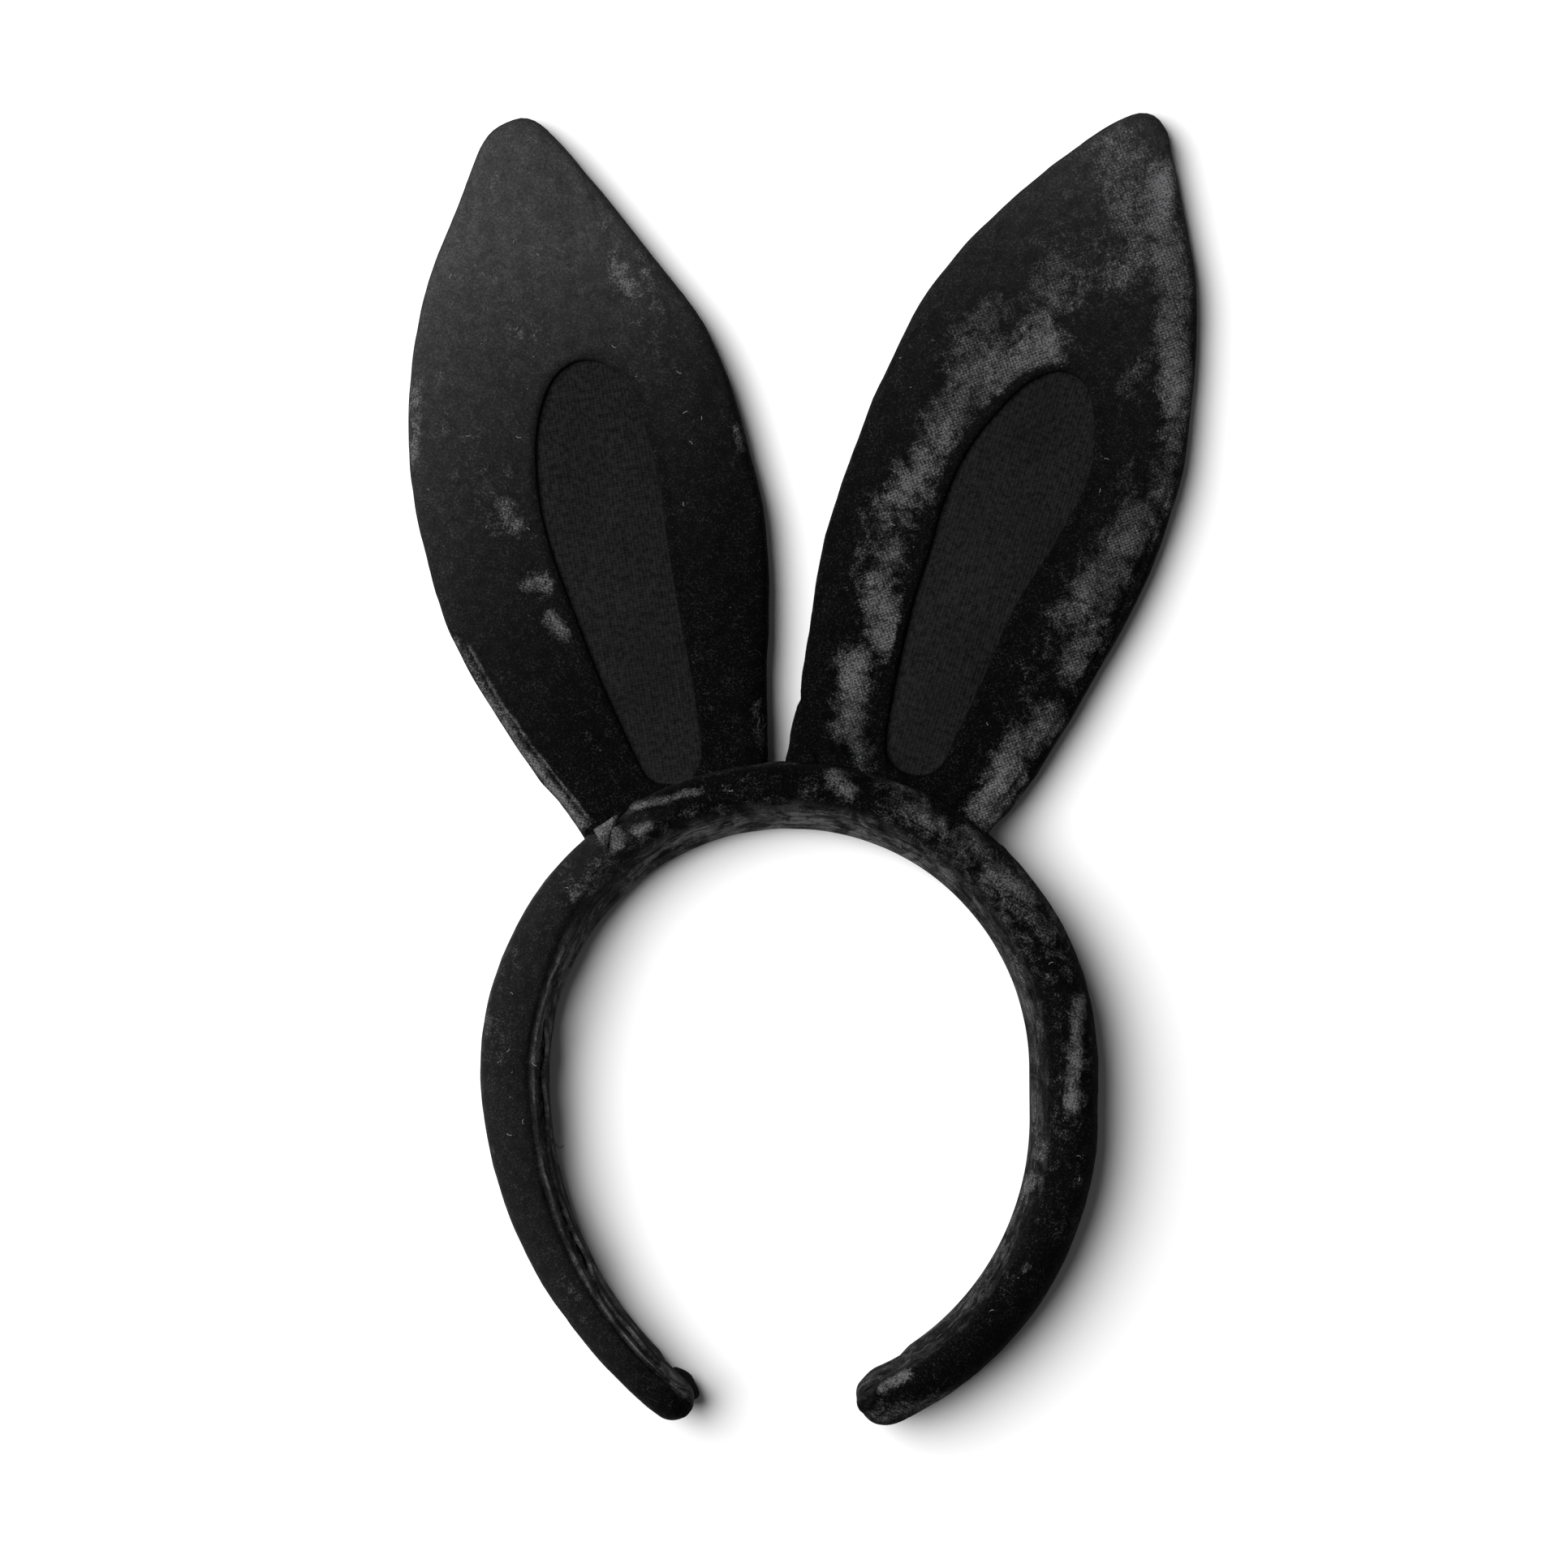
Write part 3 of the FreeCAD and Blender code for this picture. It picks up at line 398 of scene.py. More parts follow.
def crumple(piece, scales, weight=lambda point: 1.0, seed=0.0, space=lambda point: point):
    """Moves points along their normals by layers of noise: (size of a fold, height) in metres."""
    mesh = piece.data
    normals = [vert.normal.copy() for vert in mesh.vertices]
    shift = Vector((seed, seed * 0.7, -seed))
    for vert, normal in zip(mesh.vertices, normals):
        share = weight(vert.co)
        if share <= 0:
            continue
        spot = space(vert.co)
        push = sum(high * noise.noise(spot / size + shift) for size, high in scales)
        vert.co += normal * push * share
        vert.co.z = max(vert.co.z, CLOTH_FLOOR)
    mesh.update()


def along_band(point):
    """Folds in this space run along the hoop: its length is drawn in against its height and width."""
    x, y = point.x - HOOP.x, point.y - HOOP.y
    return Vector((math.atan2(x, y) * 69 * MM * 0.2, math.hypot(x, y), point.z))


def press_creases(piece, creases):
    """Presses each crease into the cloth, with a soft lip along both sides of it."""
    mesh = piece.data
    normals = [vert.normal.copy() for vert in mesh.vertices]
    for points, wide, deep, level in creases:
        strokes = [(*a, *b, wide) for a, b in zip(points, points[1:])]
        low = [min(p[k] for p in points) - 4 * wide for k in (0, 1)]
        high = [max(p[k] for p in points) + 4 * wide for k in (0, 1)]
        for vert, normal in zip(mesh.vertices, normals):
            x, y = (vert.co.x - HOOP.x) / MM, (vert.co.y - HOOP.y) / MM
            if vert.co.z < level * MM or not (low[0] < x < high[0] and low[1] < y < high[1]):
                continue
            away = min(from_stroke(x, y, stroke) for stroke in strokes)
            push = -deep * math.exp(-away * away) + 0.45 * deep * math.exp(-((away - 2.1) ** 2) / 0.6)
            vert.co += normal * push * MM * ease((vert.co.z / MM - level) / 3)
    mesh.update()


def settle(piece, sewn, pressure, slack, cap, frames):
    """Lets the cover swell over its stuffing as cloth, with its sewn points held, by no more than cap."""
    start = [vert.co.copy() for vert in piece.data.vertices]
    group = piece.vertex_groups.new(name="sewn")
    for n, point in enumerate(start):
        held = sewn(point)
        if held > 0:
            group.add([n], held, "REPLACE")
    cloth = piece.modifiers.new("settle", "CLOTH")
    for word, value in VELVET_CLOTH.items():
        setattr(cloth.settings, word, value)
    cloth.settings.shrink_min = -slack
    cloth.settings.use_pressure = True
    cloth.settings.uniform_pressure_force = pressure
    cloth.settings.vertex_group_mass = "sewn"
    cloth.settings.effector_weights.gravity = 0
    cloth.collision_settings.use_collision = False
    cloth.collision_settings.use_self_collision = False
    cloth.point_cache.frame_start = 1
    cloth.point_cache.frame_end = frames
    scene = bpy.context.scene
    for step in range(1, frames + 1):
        scene.frame_set(step)
    graph = bpy.context.evaluated_depsgraph_get()
    settled = piece.evaluated_get(graph).to_mesh()
    moved = [vert.co.copy() for vert in settled.vertices]
    piece.evaluated_get(graph).to_mesh_clear()
    piece.modifiers.remove(cloth)
    piece.vertex_groups.remove(group)
    scene.frame_set(1)
    for vert, before, after in zip(piece.data.vertices, start, moved):
        step = after - before
        if step.length > cap:
            step *= cap / step.length
        vert.co = before + step
        vert.co.z = max(vert.co.z, SETTLED_FLOOR)
    shape = bmesh.new()
    shape.from_mesh(piece.data)
    for _ in range(3):
        moved = [vert for vert in shape.verts if (vert.co - start[vert.index]).length > 0.15 * MM]
        bmesh.ops.smooth_vert(shape, verts=moved, factor=0.5)
    shape.to_mesh(piece.data)
    shape.free()
    piece.data.update()


# ---------------------------------------------------------------- the band's middle line


def band_length(side):
    straight, curve, turn = ARMS[side]
    return MIDDLE_RADIUS * (math.pi / 2 - CROWN_SPLIT[side]) + straight + curve * turn


def band_point(side, along):
    """Point on the band's middle line and its direction away from the head, at a distance from the crown."""
    straight, curve = ARMS[side][:2]
    sign = 1 if side == "right" else -1
    arc = MIDDLE_RADIUS * (math.pi / 2 - CROWN_SPLIT[side])
    if along <= arc:
        angle = math.pi / 2 - CROWN_SPLIT[side] - along / MIDDLE_RADIUS
        out = Vector((sign * math.cos(angle), math.sin(angle), 0))
        return HOOP + out * MIDDLE_RADIUS, out
    along -= arc
    if along <= straight:
        return HOOP + Vector((sign * MIDDLE_RADIUS, -along, 0)), Vector((sign, 0, 0))
    angle = (along - straight) / curve
    out = Vector((sign * math.cos(angle), -math.sin(angle), 0))
    return HOOP + Vector((sign * (MIDDLE_RADIUS - curve), -straight, 0)) + out * curve, out


def band_frame(side, along):
    """The same, but straight on past the arm's tip."""
    length = band_length(side)
    spot, out = band_point(side, min(along, length))
    if along > length:
        sign = 1 if side == "right" else -1
        ahead = Vector((out.y * sign, -out.x * sign, 0))
        spot = spot + ahead * (along - length)
    return spot, out


def tip_width(side):
    return sizes().left_tip_width if side == "left" else sizes().right_tip_width


def wall_values(side, along):
    """Half width, half height and inward lean of the sleeve's head side, and how crisp its ridge is."""
    length, arc = band_length(side), HEAD_RADIUS * math.pi / 2
    share = ease((along - arc) / (length - arc))
    half = mix(sizes().sleeve_width, tip_width(side), share) / 2
    tall = (BAND_TALL - 1.0 * MM) / 2 * mix(1.0, 0.8 if side == "left" else 0.88, share)
    near = ease((along - 25 * MM) / (60 * MM))
    lean = mix(4.0, 1.5 if side == "left" else 1.7, near) * MM * mix(1.0, 0.85, share)
    crisp = mix(0.15, 1.0 if side == "left" else 0.2, ease((along - 55 * MM) / (30 * MM)))
    return half, tall, lean, crisp


def sleeve_ring(side, along, count, shrink=1.0, low=1.0):
    """One section of the padded sleeve: a slanted head side, a folded ridge on top and a full outside.

    Also returns the painted sheen at each point of it: a highlight along the ridge, a lit head-side wall that is
    brightest at the crown, and on the left a lighter rim on the outside.
    """
    ridge = sizes().ridge_height
    half, tall, lean, crisp = wall_values(side, along)
    half, tall, lean = half * shrink, tall * low, lean * shrink
    spot, out = band_frame(side, along)
    middle = Vector((spot.x, spot.y, BAND_TALL / 2 + 0.1 * MM))
    ring, folds = [], []
    for n in range(count):
        angle = 2 * math.pi * n / count
        c, s = math.cos(angle), math.sin(angle)
        top, inner = s > 0, c < 0
        power = mix(1.0, 0.62, crisp) if top and inner else 0.76 if inner else 0.86
        x = half * math.copysign(abs(c) ** power, c)
        z = tall * math.copysign(abs(s) ** power, s)
        if inner:
            x += lean * ease((z / tall + 0.5) / 1.45) * (abs(x) / half) ** 0.6
        turn = math.degrees(angle)
        crest = math.exp(-(((turn - 139) / 6.5) ** 2))
        dent = math.exp(-(((turn - 125) / 8) ** 2))
        uneven = 0.75 + 0.5 * noise.noise(Vector((along * 90, 3.1, 0)))
        rise = ridge * crisp * (crest - 0.55 * dent) * uneven * low
        ring.append(middle + out * (x + rise * c) + Vector((0, 0, z + rise * 1.2)))
        # folds holds painted sheen: flank is the lit head-side wall, brightest at the crown, crest a painted
        # highlight along the ridge, fuzz a painted lighter rim on the left arm's outside
        flank_wide = mix(28, 20 if side == "right" else 30, ease(along / (70 * MM)))
        flank = math.exp(-(((turn - 168) / flank_wide) ** 2))
        bright = mix(1.15, 0.62 if side == "left" else 0.34, ease((along - 20 * MM) / (50 * MM)))
        fuzz = 0.3 * math.exp(-(((turn + 180) % 360 - 190) / 14) ** 2) if side == "left" else 0.0
        folds.append(max(crest * crisp * 0.8, flank * bright, fuzz))
    return ring, folds


def bend_at_arm(piece):
    """Bakes the piece's placing into its mesh; nothing here turns the cloth from the crown to the arm."""
    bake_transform(piece)


def band_weight(point):
    """Folds are deepest on the head side of the crown, and fade out where the two halves of the sleeve meet."""
    flat = Vector((point.x - HOOP.x, point.y - HOOP.y, 0))
    inner = ease((HEAD_RADIUS + 9 * MM - flat.length) / (7 * MM)) * ease((flat.y + 30 * MM) / (60 * MM))
    seam = ease((abs(flat.x + 2.9 * MM) - 0.3 * MM) / (5 * MM)) if flat.y > 0 else 1.0
    return (0.5 + 1.0 * inner) * seam


def band_painted_light(x, y):
    """Painted light over the band: strongest on the left arm, the lamp's side, faint on the crown, and a little
    stronger again on the right arm.
    """
    return 0.066 * ease((-x - 26) / 30) + 0.003 + 0.006 * ease((x - 50) / 20)


# ---------------------------------------------------------------- materials


class Finish:
    """A new material and short ways to add the nodes that the materials here are made of."""

    def __init__(self, name):
        self.material = bpy.data.materials.new(name)
        self.material.use_nodes = True
        self.nodes = self.material.node_tree.nodes
        self.links = self.material.node_tree.links
        self.shader = self.nodes["Principled BSDF"]

    def feed(self, term, socket):
        """A plain number or a colour is set on the socket, and anything else is linked to it."""
        if isinstance(term, (int, float)):
            socket.default_value = term
        elif hasattr(term, "__len__"):
            socket.default_value = (*tuple(term)[:3], 1)
        else:
            self.links.new(term, socket)

    def coords(self, shift=(0, 0, 0), turn=0.0):
        """Object coordinates, shifted and turned about the vertical."""
        coords = self.nodes.new("ShaderNodeTexCoord")
        place = self.nodes.new("ShaderNodeMapping")
        place.inputs["Location"].default_value = shift
        place.inputs["Rotation"].default_value = (0, 0, turn)
        self.links.new(coords.outputs["Object"], place.inputs["Vector"])
        return place.outputs["Vector"]

    def stored(self, word):
        """A value that was written to the mesh."""
        made = self.nodes.new("ShaderNodeAttribute")
        made.attribute_name = word
        return made.outputs["Fac"]

    def noise(self, coords, scale, detail=4.0, rough=0.6, twist=0.0):
        made = self.nodes.new("ShaderNodeTexNoise")
        made.inputs["Scale"].default_value = scale
        made.inputs["Detail"].default_value = detail
        made.inputs["Roughness"].default_value = rough
        made.inputs["Distortion"].default_value = twist
        self.links.new(coords, made.inputs["Vector"])
        return made.outputs["Fac"]

    def knit_rows(self, coords, pitch, wobble):
        """Fine columns crossed by finer rows, as a knitted backing shows: 0 in the gaps, 1 on the loops."""
        waves = []
        for way, closer in (("X", 1.0), ("Y", 1.25)):
            wave = self.nodes.new("ShaderNodeTexWave")
            wave.wave_type = "BANDS"
            wave.bands_direction = way
            wave.inputs["Scale"].default_value = WAVE_REPEAT / pitch * closer
            wave.inputs["Distortion"].default_value = wobble
            wave.inputs["Detail"].default_value = 1.5
            wave.inputs["Detail Scale"].default_value = 0.5
            self.links.new(coords, wave.inputs["Vector"])
            waves.append(wave.outputs["Fac"])
        return self.times(*waves)

    def math(self, operation, *terms):
        made = self.nodes.new("ShaderNodeMath")
        made.operation = operation
        for term, socket in zip(terms, made.inputs):
            self.feed(term, socket)
        return made.outputs[0]

    def times(self, one, other):
        return self.math("MULTIPLY", one, other)

    def span(self, value, low, high, to_low=0.0, to_high=1.0, kind="LINEAR"):
        """Turns low..high into to_low..to_high, and stops at both ends."""
        made = self.nodes.new("ShaderNodeMapRange")
        made.interpolation_type = kind
        terms = {"Value": value, "From Min": low, "From Max": high, "To Min": to_low, "To Max": to_high}
        for socket, term in terms.items():
            self.feed(term, made.inputs[socket])
        return made.outputs[0]

    def step(self, value, low, high, to_low=0.0, to_high=1.0):
        """The same, with a soft start and end."""
        return self.span(value, low, high, to_low, to_high, "SMOOTHSTEP")

    def blend(self, share, one, other):
        """A colour between two others."""
        made = self.nodes.new("ShaderNodeMix")
        made.data_type = "RGBA"
        made.clamp_result = True
        for term, socket in ((share, made.inputs[0]), (one, made.inputs[6]), (other, made.inputs[7])):
            self.feed(term, socket)
        return made.outputs[2]

    def surface(self, colour, rough, height, strength, distance, **constants):
        """Connects the shader, with relief from height, and returns the material."""
        bump = self.nodes.new("ShaderNodeBump")
        bump.inputs["Strength"].default_value = strength
        bump.inputs["Distance"].default_value = distance
        self.links.new(height, bump.inputs["Height"])
        self.links.new(bump.outputs["Normal"], self.shader.inputs["Normal"])
        self.links.new(colour, self.shader.inputs["Base Color"])
        self.links.new(rough, self.shader.inputs["Roughness"])
        for word, value in constants.items():
            self.shader.inputs[word.replace("_", " ")].default_value = value
        return self.material


def velvet(name, seed, turn, weave, sheen_streaks=False):
    """Crushed velvet: near-black pile, grey patches of painted sheen where the pile leans, painted light over it,
    fine knit rows and specks of lint.
    """
    make, size = Finish(name), sizes()
    coords = make.coords((seed, seed * 0.37, 0), turn)
    crush_sheen, painted_light = make.stored("crush_sheen"), make.stored("painted_light")
    pooled = make.noise(coords, 36, 3, 0.65, 0.8)
    patch = make.noise(coords, 78, 4, 0.62, 1.3)
    fleck = make.noise(coords, 330, 5, 0.72, 0.6)
    hairs = make.noise(coords, 2100, 3, 0.78)

    # patches of painted sheen with ragged edges, which spread where the pile is crushed
    ragged = make.math("MULTIPLY_ADD", patch, 0.44, make.times(fleck, 0.54))
    ragged = make.math("MULTIPLY_ADD", hairs, 0.32, ragged)
    edge = make.math("MULTIPLY_ADD", crush_sheen, -0.37, 0.775)
    shine = make.step(ragged, edge, make.math("ADD", edge, 0.4))

    # the knitted backing and the tufts of pile break the patches up
    rows = make.span(make.knit_rows(coords, VELVET_PITCH, 0.9), 0.0, 0.75, 1 - weave, 1 + weave * 0.8)
    tufts = make.span(hairs, 0.36, 0.64, 0.22, 1.75)
    shine = make.times(shine, make.times(rows, tufts))
    shine = make.times(shine, make.span(pooled, 0.36, 0.62, 0.5, 1.3))

    if sheen_streaks:
        # painted sheen in lines along the band, where the pile is drawn out
        sheen_streak, run, girth = (make.stored(word) for word in ("sheen_streak", "run", "girth"))
        drawn = make.nodes.new("ShaderNodeCombineXYZ")
        make.links.new(make.times(run, 0.16), drawn.inputs[0])
        make.links.new(girth, drawn.inputs[1])
        threads = make.noise(drawn.outputs[0], 640, 5, 0.75, 0.5)
        line = make.times(sheen_streak, make.step(threads, 0.33, 0.7, 0.06, 1.25))
        line = make.times(line, make.span(fleck, 0.3, 0.66, 0.35, 1.35))
        line = make.times(line, make.step(patch, 0.4, 0.62, 0.3, 1.5))
        line = make.times(line, make.span(hairs, 0.34, 0.66, 0.5, 1.5))
        shine = make.math("MAXIMUM", shine, line)

    # painted light over the pile, as a grainy veil, and dust in it
    veil = make.times(painted_light, make.span(hairs, 0.3, 0.7, 0.5, 1.5))
    veil = make.times(veil, make.span(fleck, 0.36, 0.64, 0.78, 1.18))
    dust = make.times(make.step(hairs, 0.5, 0.72, 0.0, 0.2), make.span(fleck, 0.4, 0.64, 0.1, 1.2))
    lifted = make.math("ADD", veil, make.math("ADD", shine, dust))
    cloth = make.blend(lifted, size.velvet_dark, size.velvet_light)

    specks = make.nodes.new("ShaderNodeTexVoronoi")
    specks.inputs["Scale"].default_value = 190
    make.links.new(coords, specks.inputs["Vector"])
    near = make.step(specks.outputs["Distance"], 0.03, 0.055, 1.0, 0.0)
    picked = make.math("GREATER_THAN", make.noise(coords, 61, 1, 0.5), 0.62)
    lint = make.times(make.times(near, picked), 0.5)
    return make.surface(
        make.blend(lint, cloth, LINT_GREY), make.span(shine, 0, 1, 0.95, 0.75),
        make.math("MULTIPLY_ADD", hairs, 0.25, fleck), 0.5, 1.1 * MM,
        Sheen_Weight=0.008, Sheen_Roughness=0.3, Specular_IOR_Level=0.02)


def knit(name, turn):
    """Matte black knit: fine columns of loops crossed by rows, with a little fuzz."""
    make, size = Finish(name), sizes()
    coords = make.coords(turn=turn)
    loops = make.knit_rows(coords, KNIT_PITCH, 0.5)
    fuzz = make.noise(coords, 900, 3, 0.6)
    cloud = make.noise(coords, 55, 3, 0.6)
    share = make.math("MULTIPLY_ADD", loops, 0.4, make.span(fuzz, 0.34, 0.66, 0.0, 0.62))
    share = make.times(share, make.span(cloud, 0.3, 0.7, 0.8, 1.2))
    dark = tuple(value * 0.35 for value in size.knit_colour)
    light = tuple(value * 2.1 for value in size.knit_colour)
    return make.surface(
        make.blend(share, dark, light), make.span(fuzz, 0.3, 0.7, 0.86, 0.98),
        make.math("ADD", loops, make.times(fuzz, 0.5)), 0.5, 0.4 * MM,
        Sheen_Weight=0.008, Sheen_Roughness=0.5, Specular_IOR_Level=0.03)


def plain_stuff(name, dark, light, scale, rough, metal=0.0, relief=0.3 * MM):
    """Plastic, thread, lint and wire: two shades mixed by grain, with roughness and relief from the same grain."""
    make = Finish(name)
    grain = make.noise(make.coords(), scale)
    return make.surface(
        make.blend(grain, dark, light), make.span(grain, 0.3, 0.7, rough - 0.08, min(rough + 0.08, 1.0)),
        grain, 0.4, relief, Metallic=metal)


MATERIALS = {}
MAKERS = {
    "velvet_band": (velvet, 0.31, 0.4, 0.22, True),
    "velvet_left_ear": (velvet, 0.77, 0.22, 0.35),
    "velvet_right_ear": (velvet, 1.43, -0.36, 0.5),
    "knit_left": (knit, -0.16),
    "knit_right": (knit, 0.3),
    "thread": (plain_stuff, (0.004, 0.004, 0.004), (0.03, 0.03, 0.03), 2400, 0.8),
    "lint": (plain_stuff, (0.12, 0.12, 0.12), (0.3, 0.3, 0.3), 2600, 0.85),
    "spring_plastic": (plain_stuff, (0.02, 0.02, 0.02), (0.05, 0.05, 0.05), 500, 0.5),
    "wire": (plain_stuff, (0.42, 0.42, 0.43), (0.6, 0.6, 0.61), 1800, 0.32, 1.0, 0.1 * MM),
}


def material(name):
    """Each material is made once, when a piece first needs it."""
    if name not in MATERIALS:
        maker, *values = MAKERS[name]
        MATERIALS[name] = maker(name, *values)
    return MATERIALS[name]


# ---------------------------------------------------------------- pieces


class HEADBAND_OT_sleeves(bpy.types.Operator):
    """Sews the padded velvet sleeve of the band, in two halves that meet between the ears"""

    bl_idname = "headband.sleeves"
    bl_label = "Band sleeves"

    def execute(self, context):
        stands_for = {
            "left": ("cover_crown", "cover_left", "foam_crown", "foam_left", "end_left"),
            "right": ("cover_right", "foam_right", "end_right"),
        }

        def sewn(point):
            """The two halves are joined between the ears."""
            return 1.0 if abs(point.x - HOOP.x) < 9 * MM and point.y > HOOP.y else 0.0

        for side in SIDES:
            length = band_length(side)
            reach = tip_width(side) / 2 * (0.98 if side == "left" else 1.2)
            drop = 0.35 if side == "left" else 0.45
            made = [sleeve_ring(side, length * n / SLEEVE_ROWS, SLEEVE_ROUND) for n in range(SLEEVE_ROWS + 1)]
            for n in range(1, TIP_ROWS + 1):
                angle = math.radians(6.1 * n)
                shrink, low = math.cos(angle) ** 0.75, mix(1.0, drop, math.sin(angle) ** 2.2)
                made.append(sleeve_ring(side, length + reach * math.sin(angle), SLEEVE_ROUND, shrink, low))
            sleeve = wrap("band_sleeve_" + side, [ring for ring, folds in made], {
                "sheen_streak": [folds for ring, folds in made],
                "run": [length * n / SLEEVE_ROWS for n in range(len(made))],
                "girth": [[SLEEVE_GIRTH * k / SLEEVE_ROUND for k in range(SLEEVE_ROUND)]] * len(made),
            })
            settle(sleeve, sewn, pressure=0.6, slack=0.0, cap=0.7 * MM, frames=8)
            crumple(sleeve, [(9 * MM, 0.42 * MM), (3.2 * MM, 0.34 * MM)], band_weight, 0.4, along_band)
            creased = [(11 * MM, 0.4 * MM), (4.5 * MM, 0.22 * MM), (2 * MM, 0.08 * MM)]
            crumple(sleeve, creased, band_weight, 0.9)
            press_creases(sleeve, CREASES)
            mark_pile(sleeve, BAND_STROKES, band_painted_light)
            put_on(sleeve, material("velvet_band"))
            bend_at_arm(sleeve)
            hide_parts(*stands_for[side])
        return {"FINISHED"}


def cross_ring(side, along, low, high, wave=0.0, loose=0.0):
    """A flat section of lining on the sleeve's head side, whose upper edge is sewn in where it isn't loose."""
    half, tall, lean = wall_values(side, along)[:3]
    spot, out = band_frame(side, along)
    thick = sizes().lining_thick
    levels = [mix(low, high, n / (LINING_ROUND - 1)) for n in range(LINING_ROUND)]

    def place(z, back):
        up = (z - low) / (high - low)
        wall = -half + lean * ease((z / tall + 0.5) / 1.45)
        sewn = mix(-0.35 * MM, 0.9 * MM, ease((up - 0.35) / 0.6))
        free = -0.55 * MM - wave * ease(up) ** 2
        tucked = 1.6 * MM * ease((along - band_length(side) + 11 * MM) / (8 * MM))
        return wall + mix(sewn, free, loose) + tucked + (thick if back else 0)

    ring = [(place(z, False), z) for z in levels] + [(place(z, True), z) for z in reversed(levels)]
    return [Vector((spot.x, spot.y, BAND_TALL / 2)) + out * x + Vector((0, 0, z)) for x, z in ring]


class HEADBAND_OT_linings(bpy.types.Operator):
    """Lays the lining strip along the head side of the band, with its upper edge a little loose on the left"""

    bl_idname = "headband.linings"
    bl_label = "Linings"

    def execute(self, context):
        stands_for = {"left": ("lining_crown", "lining_left"), "right": ("lining_right",)}
        round_count = 2 * LINING_ROUND
        top_edge = LINING_ROUND - 1
        girth = [0.039 - 0.0011 * min(k, round_count - 1 - k) for k in range(round_count)]
        for side in SIDES:
            length, rings, marks = band_length(side), [], []
            for n in range(LINING_ROWS + 1):
                along = mix(0.02 * MM, length - TIP_TUCK, n / LINING_ROWS)
                loose, wave = 0.0, 0.0
                if side == "left":
                    loose = ease((along - 88 * MM) / (8 * MM))
                    wave = max(0.55 + 1.5 * noise.noise(Vector((along * 85, 7.7, 1.3))), 0.0) * MM
                    wave *= ease((along - 90 * MM) / (10 * MM)) * ease((length - 8 * MM - along) / (20 * MM))
                edge = 0.35 * MM * noise.noise(Vector((along * 160, 1.7, 4.1)))
                rings.append(cross_ring(side, along, -6.6 * MM, 5.2 * MM + edge, wave, loose))
                # painted sheen on the lining, brightest at the crown
                bright = mix(1.15, 0.5 if side == "left" else 0.34, ease(along / (80 * MM)))
                marks.append([bright] * round_count)
                if side == "left" and n > LINING_ROWS * 0.55:
                    # the loose edge catches the light, and shades the strip just below it
                    marks[n][top_edge - 3:top_edge + 1] = [0.1, 0.1, 0.1, 0.65]
            strip = wrap("lining_strip_" + side, rings, {
                "sheen_streak": marks,
                "run": [length * n / LINING_ROWS for n in range(LINING_ROWS + 1)],
                "girth": [girth] * len(rings),
            })
            crumple(strip, [(9 * MM, 0.22 * MM), (3 * MM, 0.12 * MM)], band_weight, 2.2, along_band)
            mark_pile(strip, BAND_STROKES, band_painted_light)
            put_on(strip, material("velvet_band"))
            bend_at_arm(strip)
            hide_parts(*stands_for[side])
        return {"FINISHED"}


def add_stitch(shape, middle, along, up, length, radius):
    """One short stitch: a low-sided capsule that dips into the cloth at both ends."""
    side = along.cross(up).normalized()
    turn = Matrix((side, up, along)).transposed().to_4x4()
    made = bmesh.ops.create_uvsphere(shape, u_segments=6, v_segments=5, radius=1)["verts"]
    bmesh.ops.scale(shape, verts=made, vec=(radius, radius, length / 2))
    bmesh.ops.transform(shape, verts=made, matrix=Matrix.Translation(middle) @ turn)


class HEADBAND_OT_hem_stitches(bpy.types.Operator):
    """Sews the lower and upper hems of the lining with small black stitches"""

    bl_idname = "headband.hem_stitches"
    bl_label = "Hem stitches"

    def execute(self, context):
        for side in SIDES:
            length, pitch = band_length(side), sizes().stitch_pitch
            pivot = Vector(HINGES[side + "_arm"]["pos_m"])
            flat = Vector((pivot.x - HOOP.x, pivot.y - HOOP.y))
            cut = MIDDLE_RADIUS * (math.acos(min(1.0, flat.y / flat.length)) - CROWN_SPLIT[side])
            for part in ("crown", "arm"):
                low, high = (1.5 * MM, cut - 7 * MM) if part == "crown" else (cut + 7 * MM, length - 8 * MM)
                shape = bmesh.new()
                for n in range(int((high - low) / pitch)):
                    along = low + n * pitch
                    for level in (-6.9 * MM, 5.0 * MM):
                        inset = band_point(side, along)[1] * 0.28 * MM
                        spot = cross_ring(side, along, level, level + 6 * MM)[0] + inset
                        ahead = cross_ring(side, along + 1 * MM, level, level + 6 * MM)[0] + inset
                        way = (ahead - spot).normalized()
                        add_stitch(shape, spot, way, Vector((0, 0, 1)), 2.2 * MM, 0.2 * MM)
                row = finish_shape("hem_stitches_%s_%s" % (part, side), shape)
                put_on(row, material("thread"))
                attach(row, "crown" if part == "crown" else side + "_arm")
                if part == "crown" and side == "left":
                    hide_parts("lining_stitches_crown")
                if part == "arm":
                    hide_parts("lining_stitches_" + side)
        return {"FINISHED"}


def ear_hinge(side):
    """A point on the hinge at the ear's foot, and the direction from there out along the ear."""
    joint = HINGES[side + "_ear"]
    axis = Vector(joint["axis"])
    return Vector(joint["pos_m"]), Vector((-axis.y, axis.x, 0)).normalized()


def ear_plane(side, point):
    """Height of the ear's wire above the table at a point, and the distance out from the foot's hinge."""
    pivot, out = ear_hinge(side)
    reach = (Vector((point.x, point.y, 0)) - Vector((pivot.x, pivot.y, 0))).dot(out)
    return sizes().ear_rise - reach * math.tan(sizes().ear_drop), reach


def foot_lift(reach):
    """How far the top of an ear stands higher near its foot, where it climbs onto the band."""
    return 3.2 * MM * (1 - ease((reach + 4 * MM) / (18 * MM)))


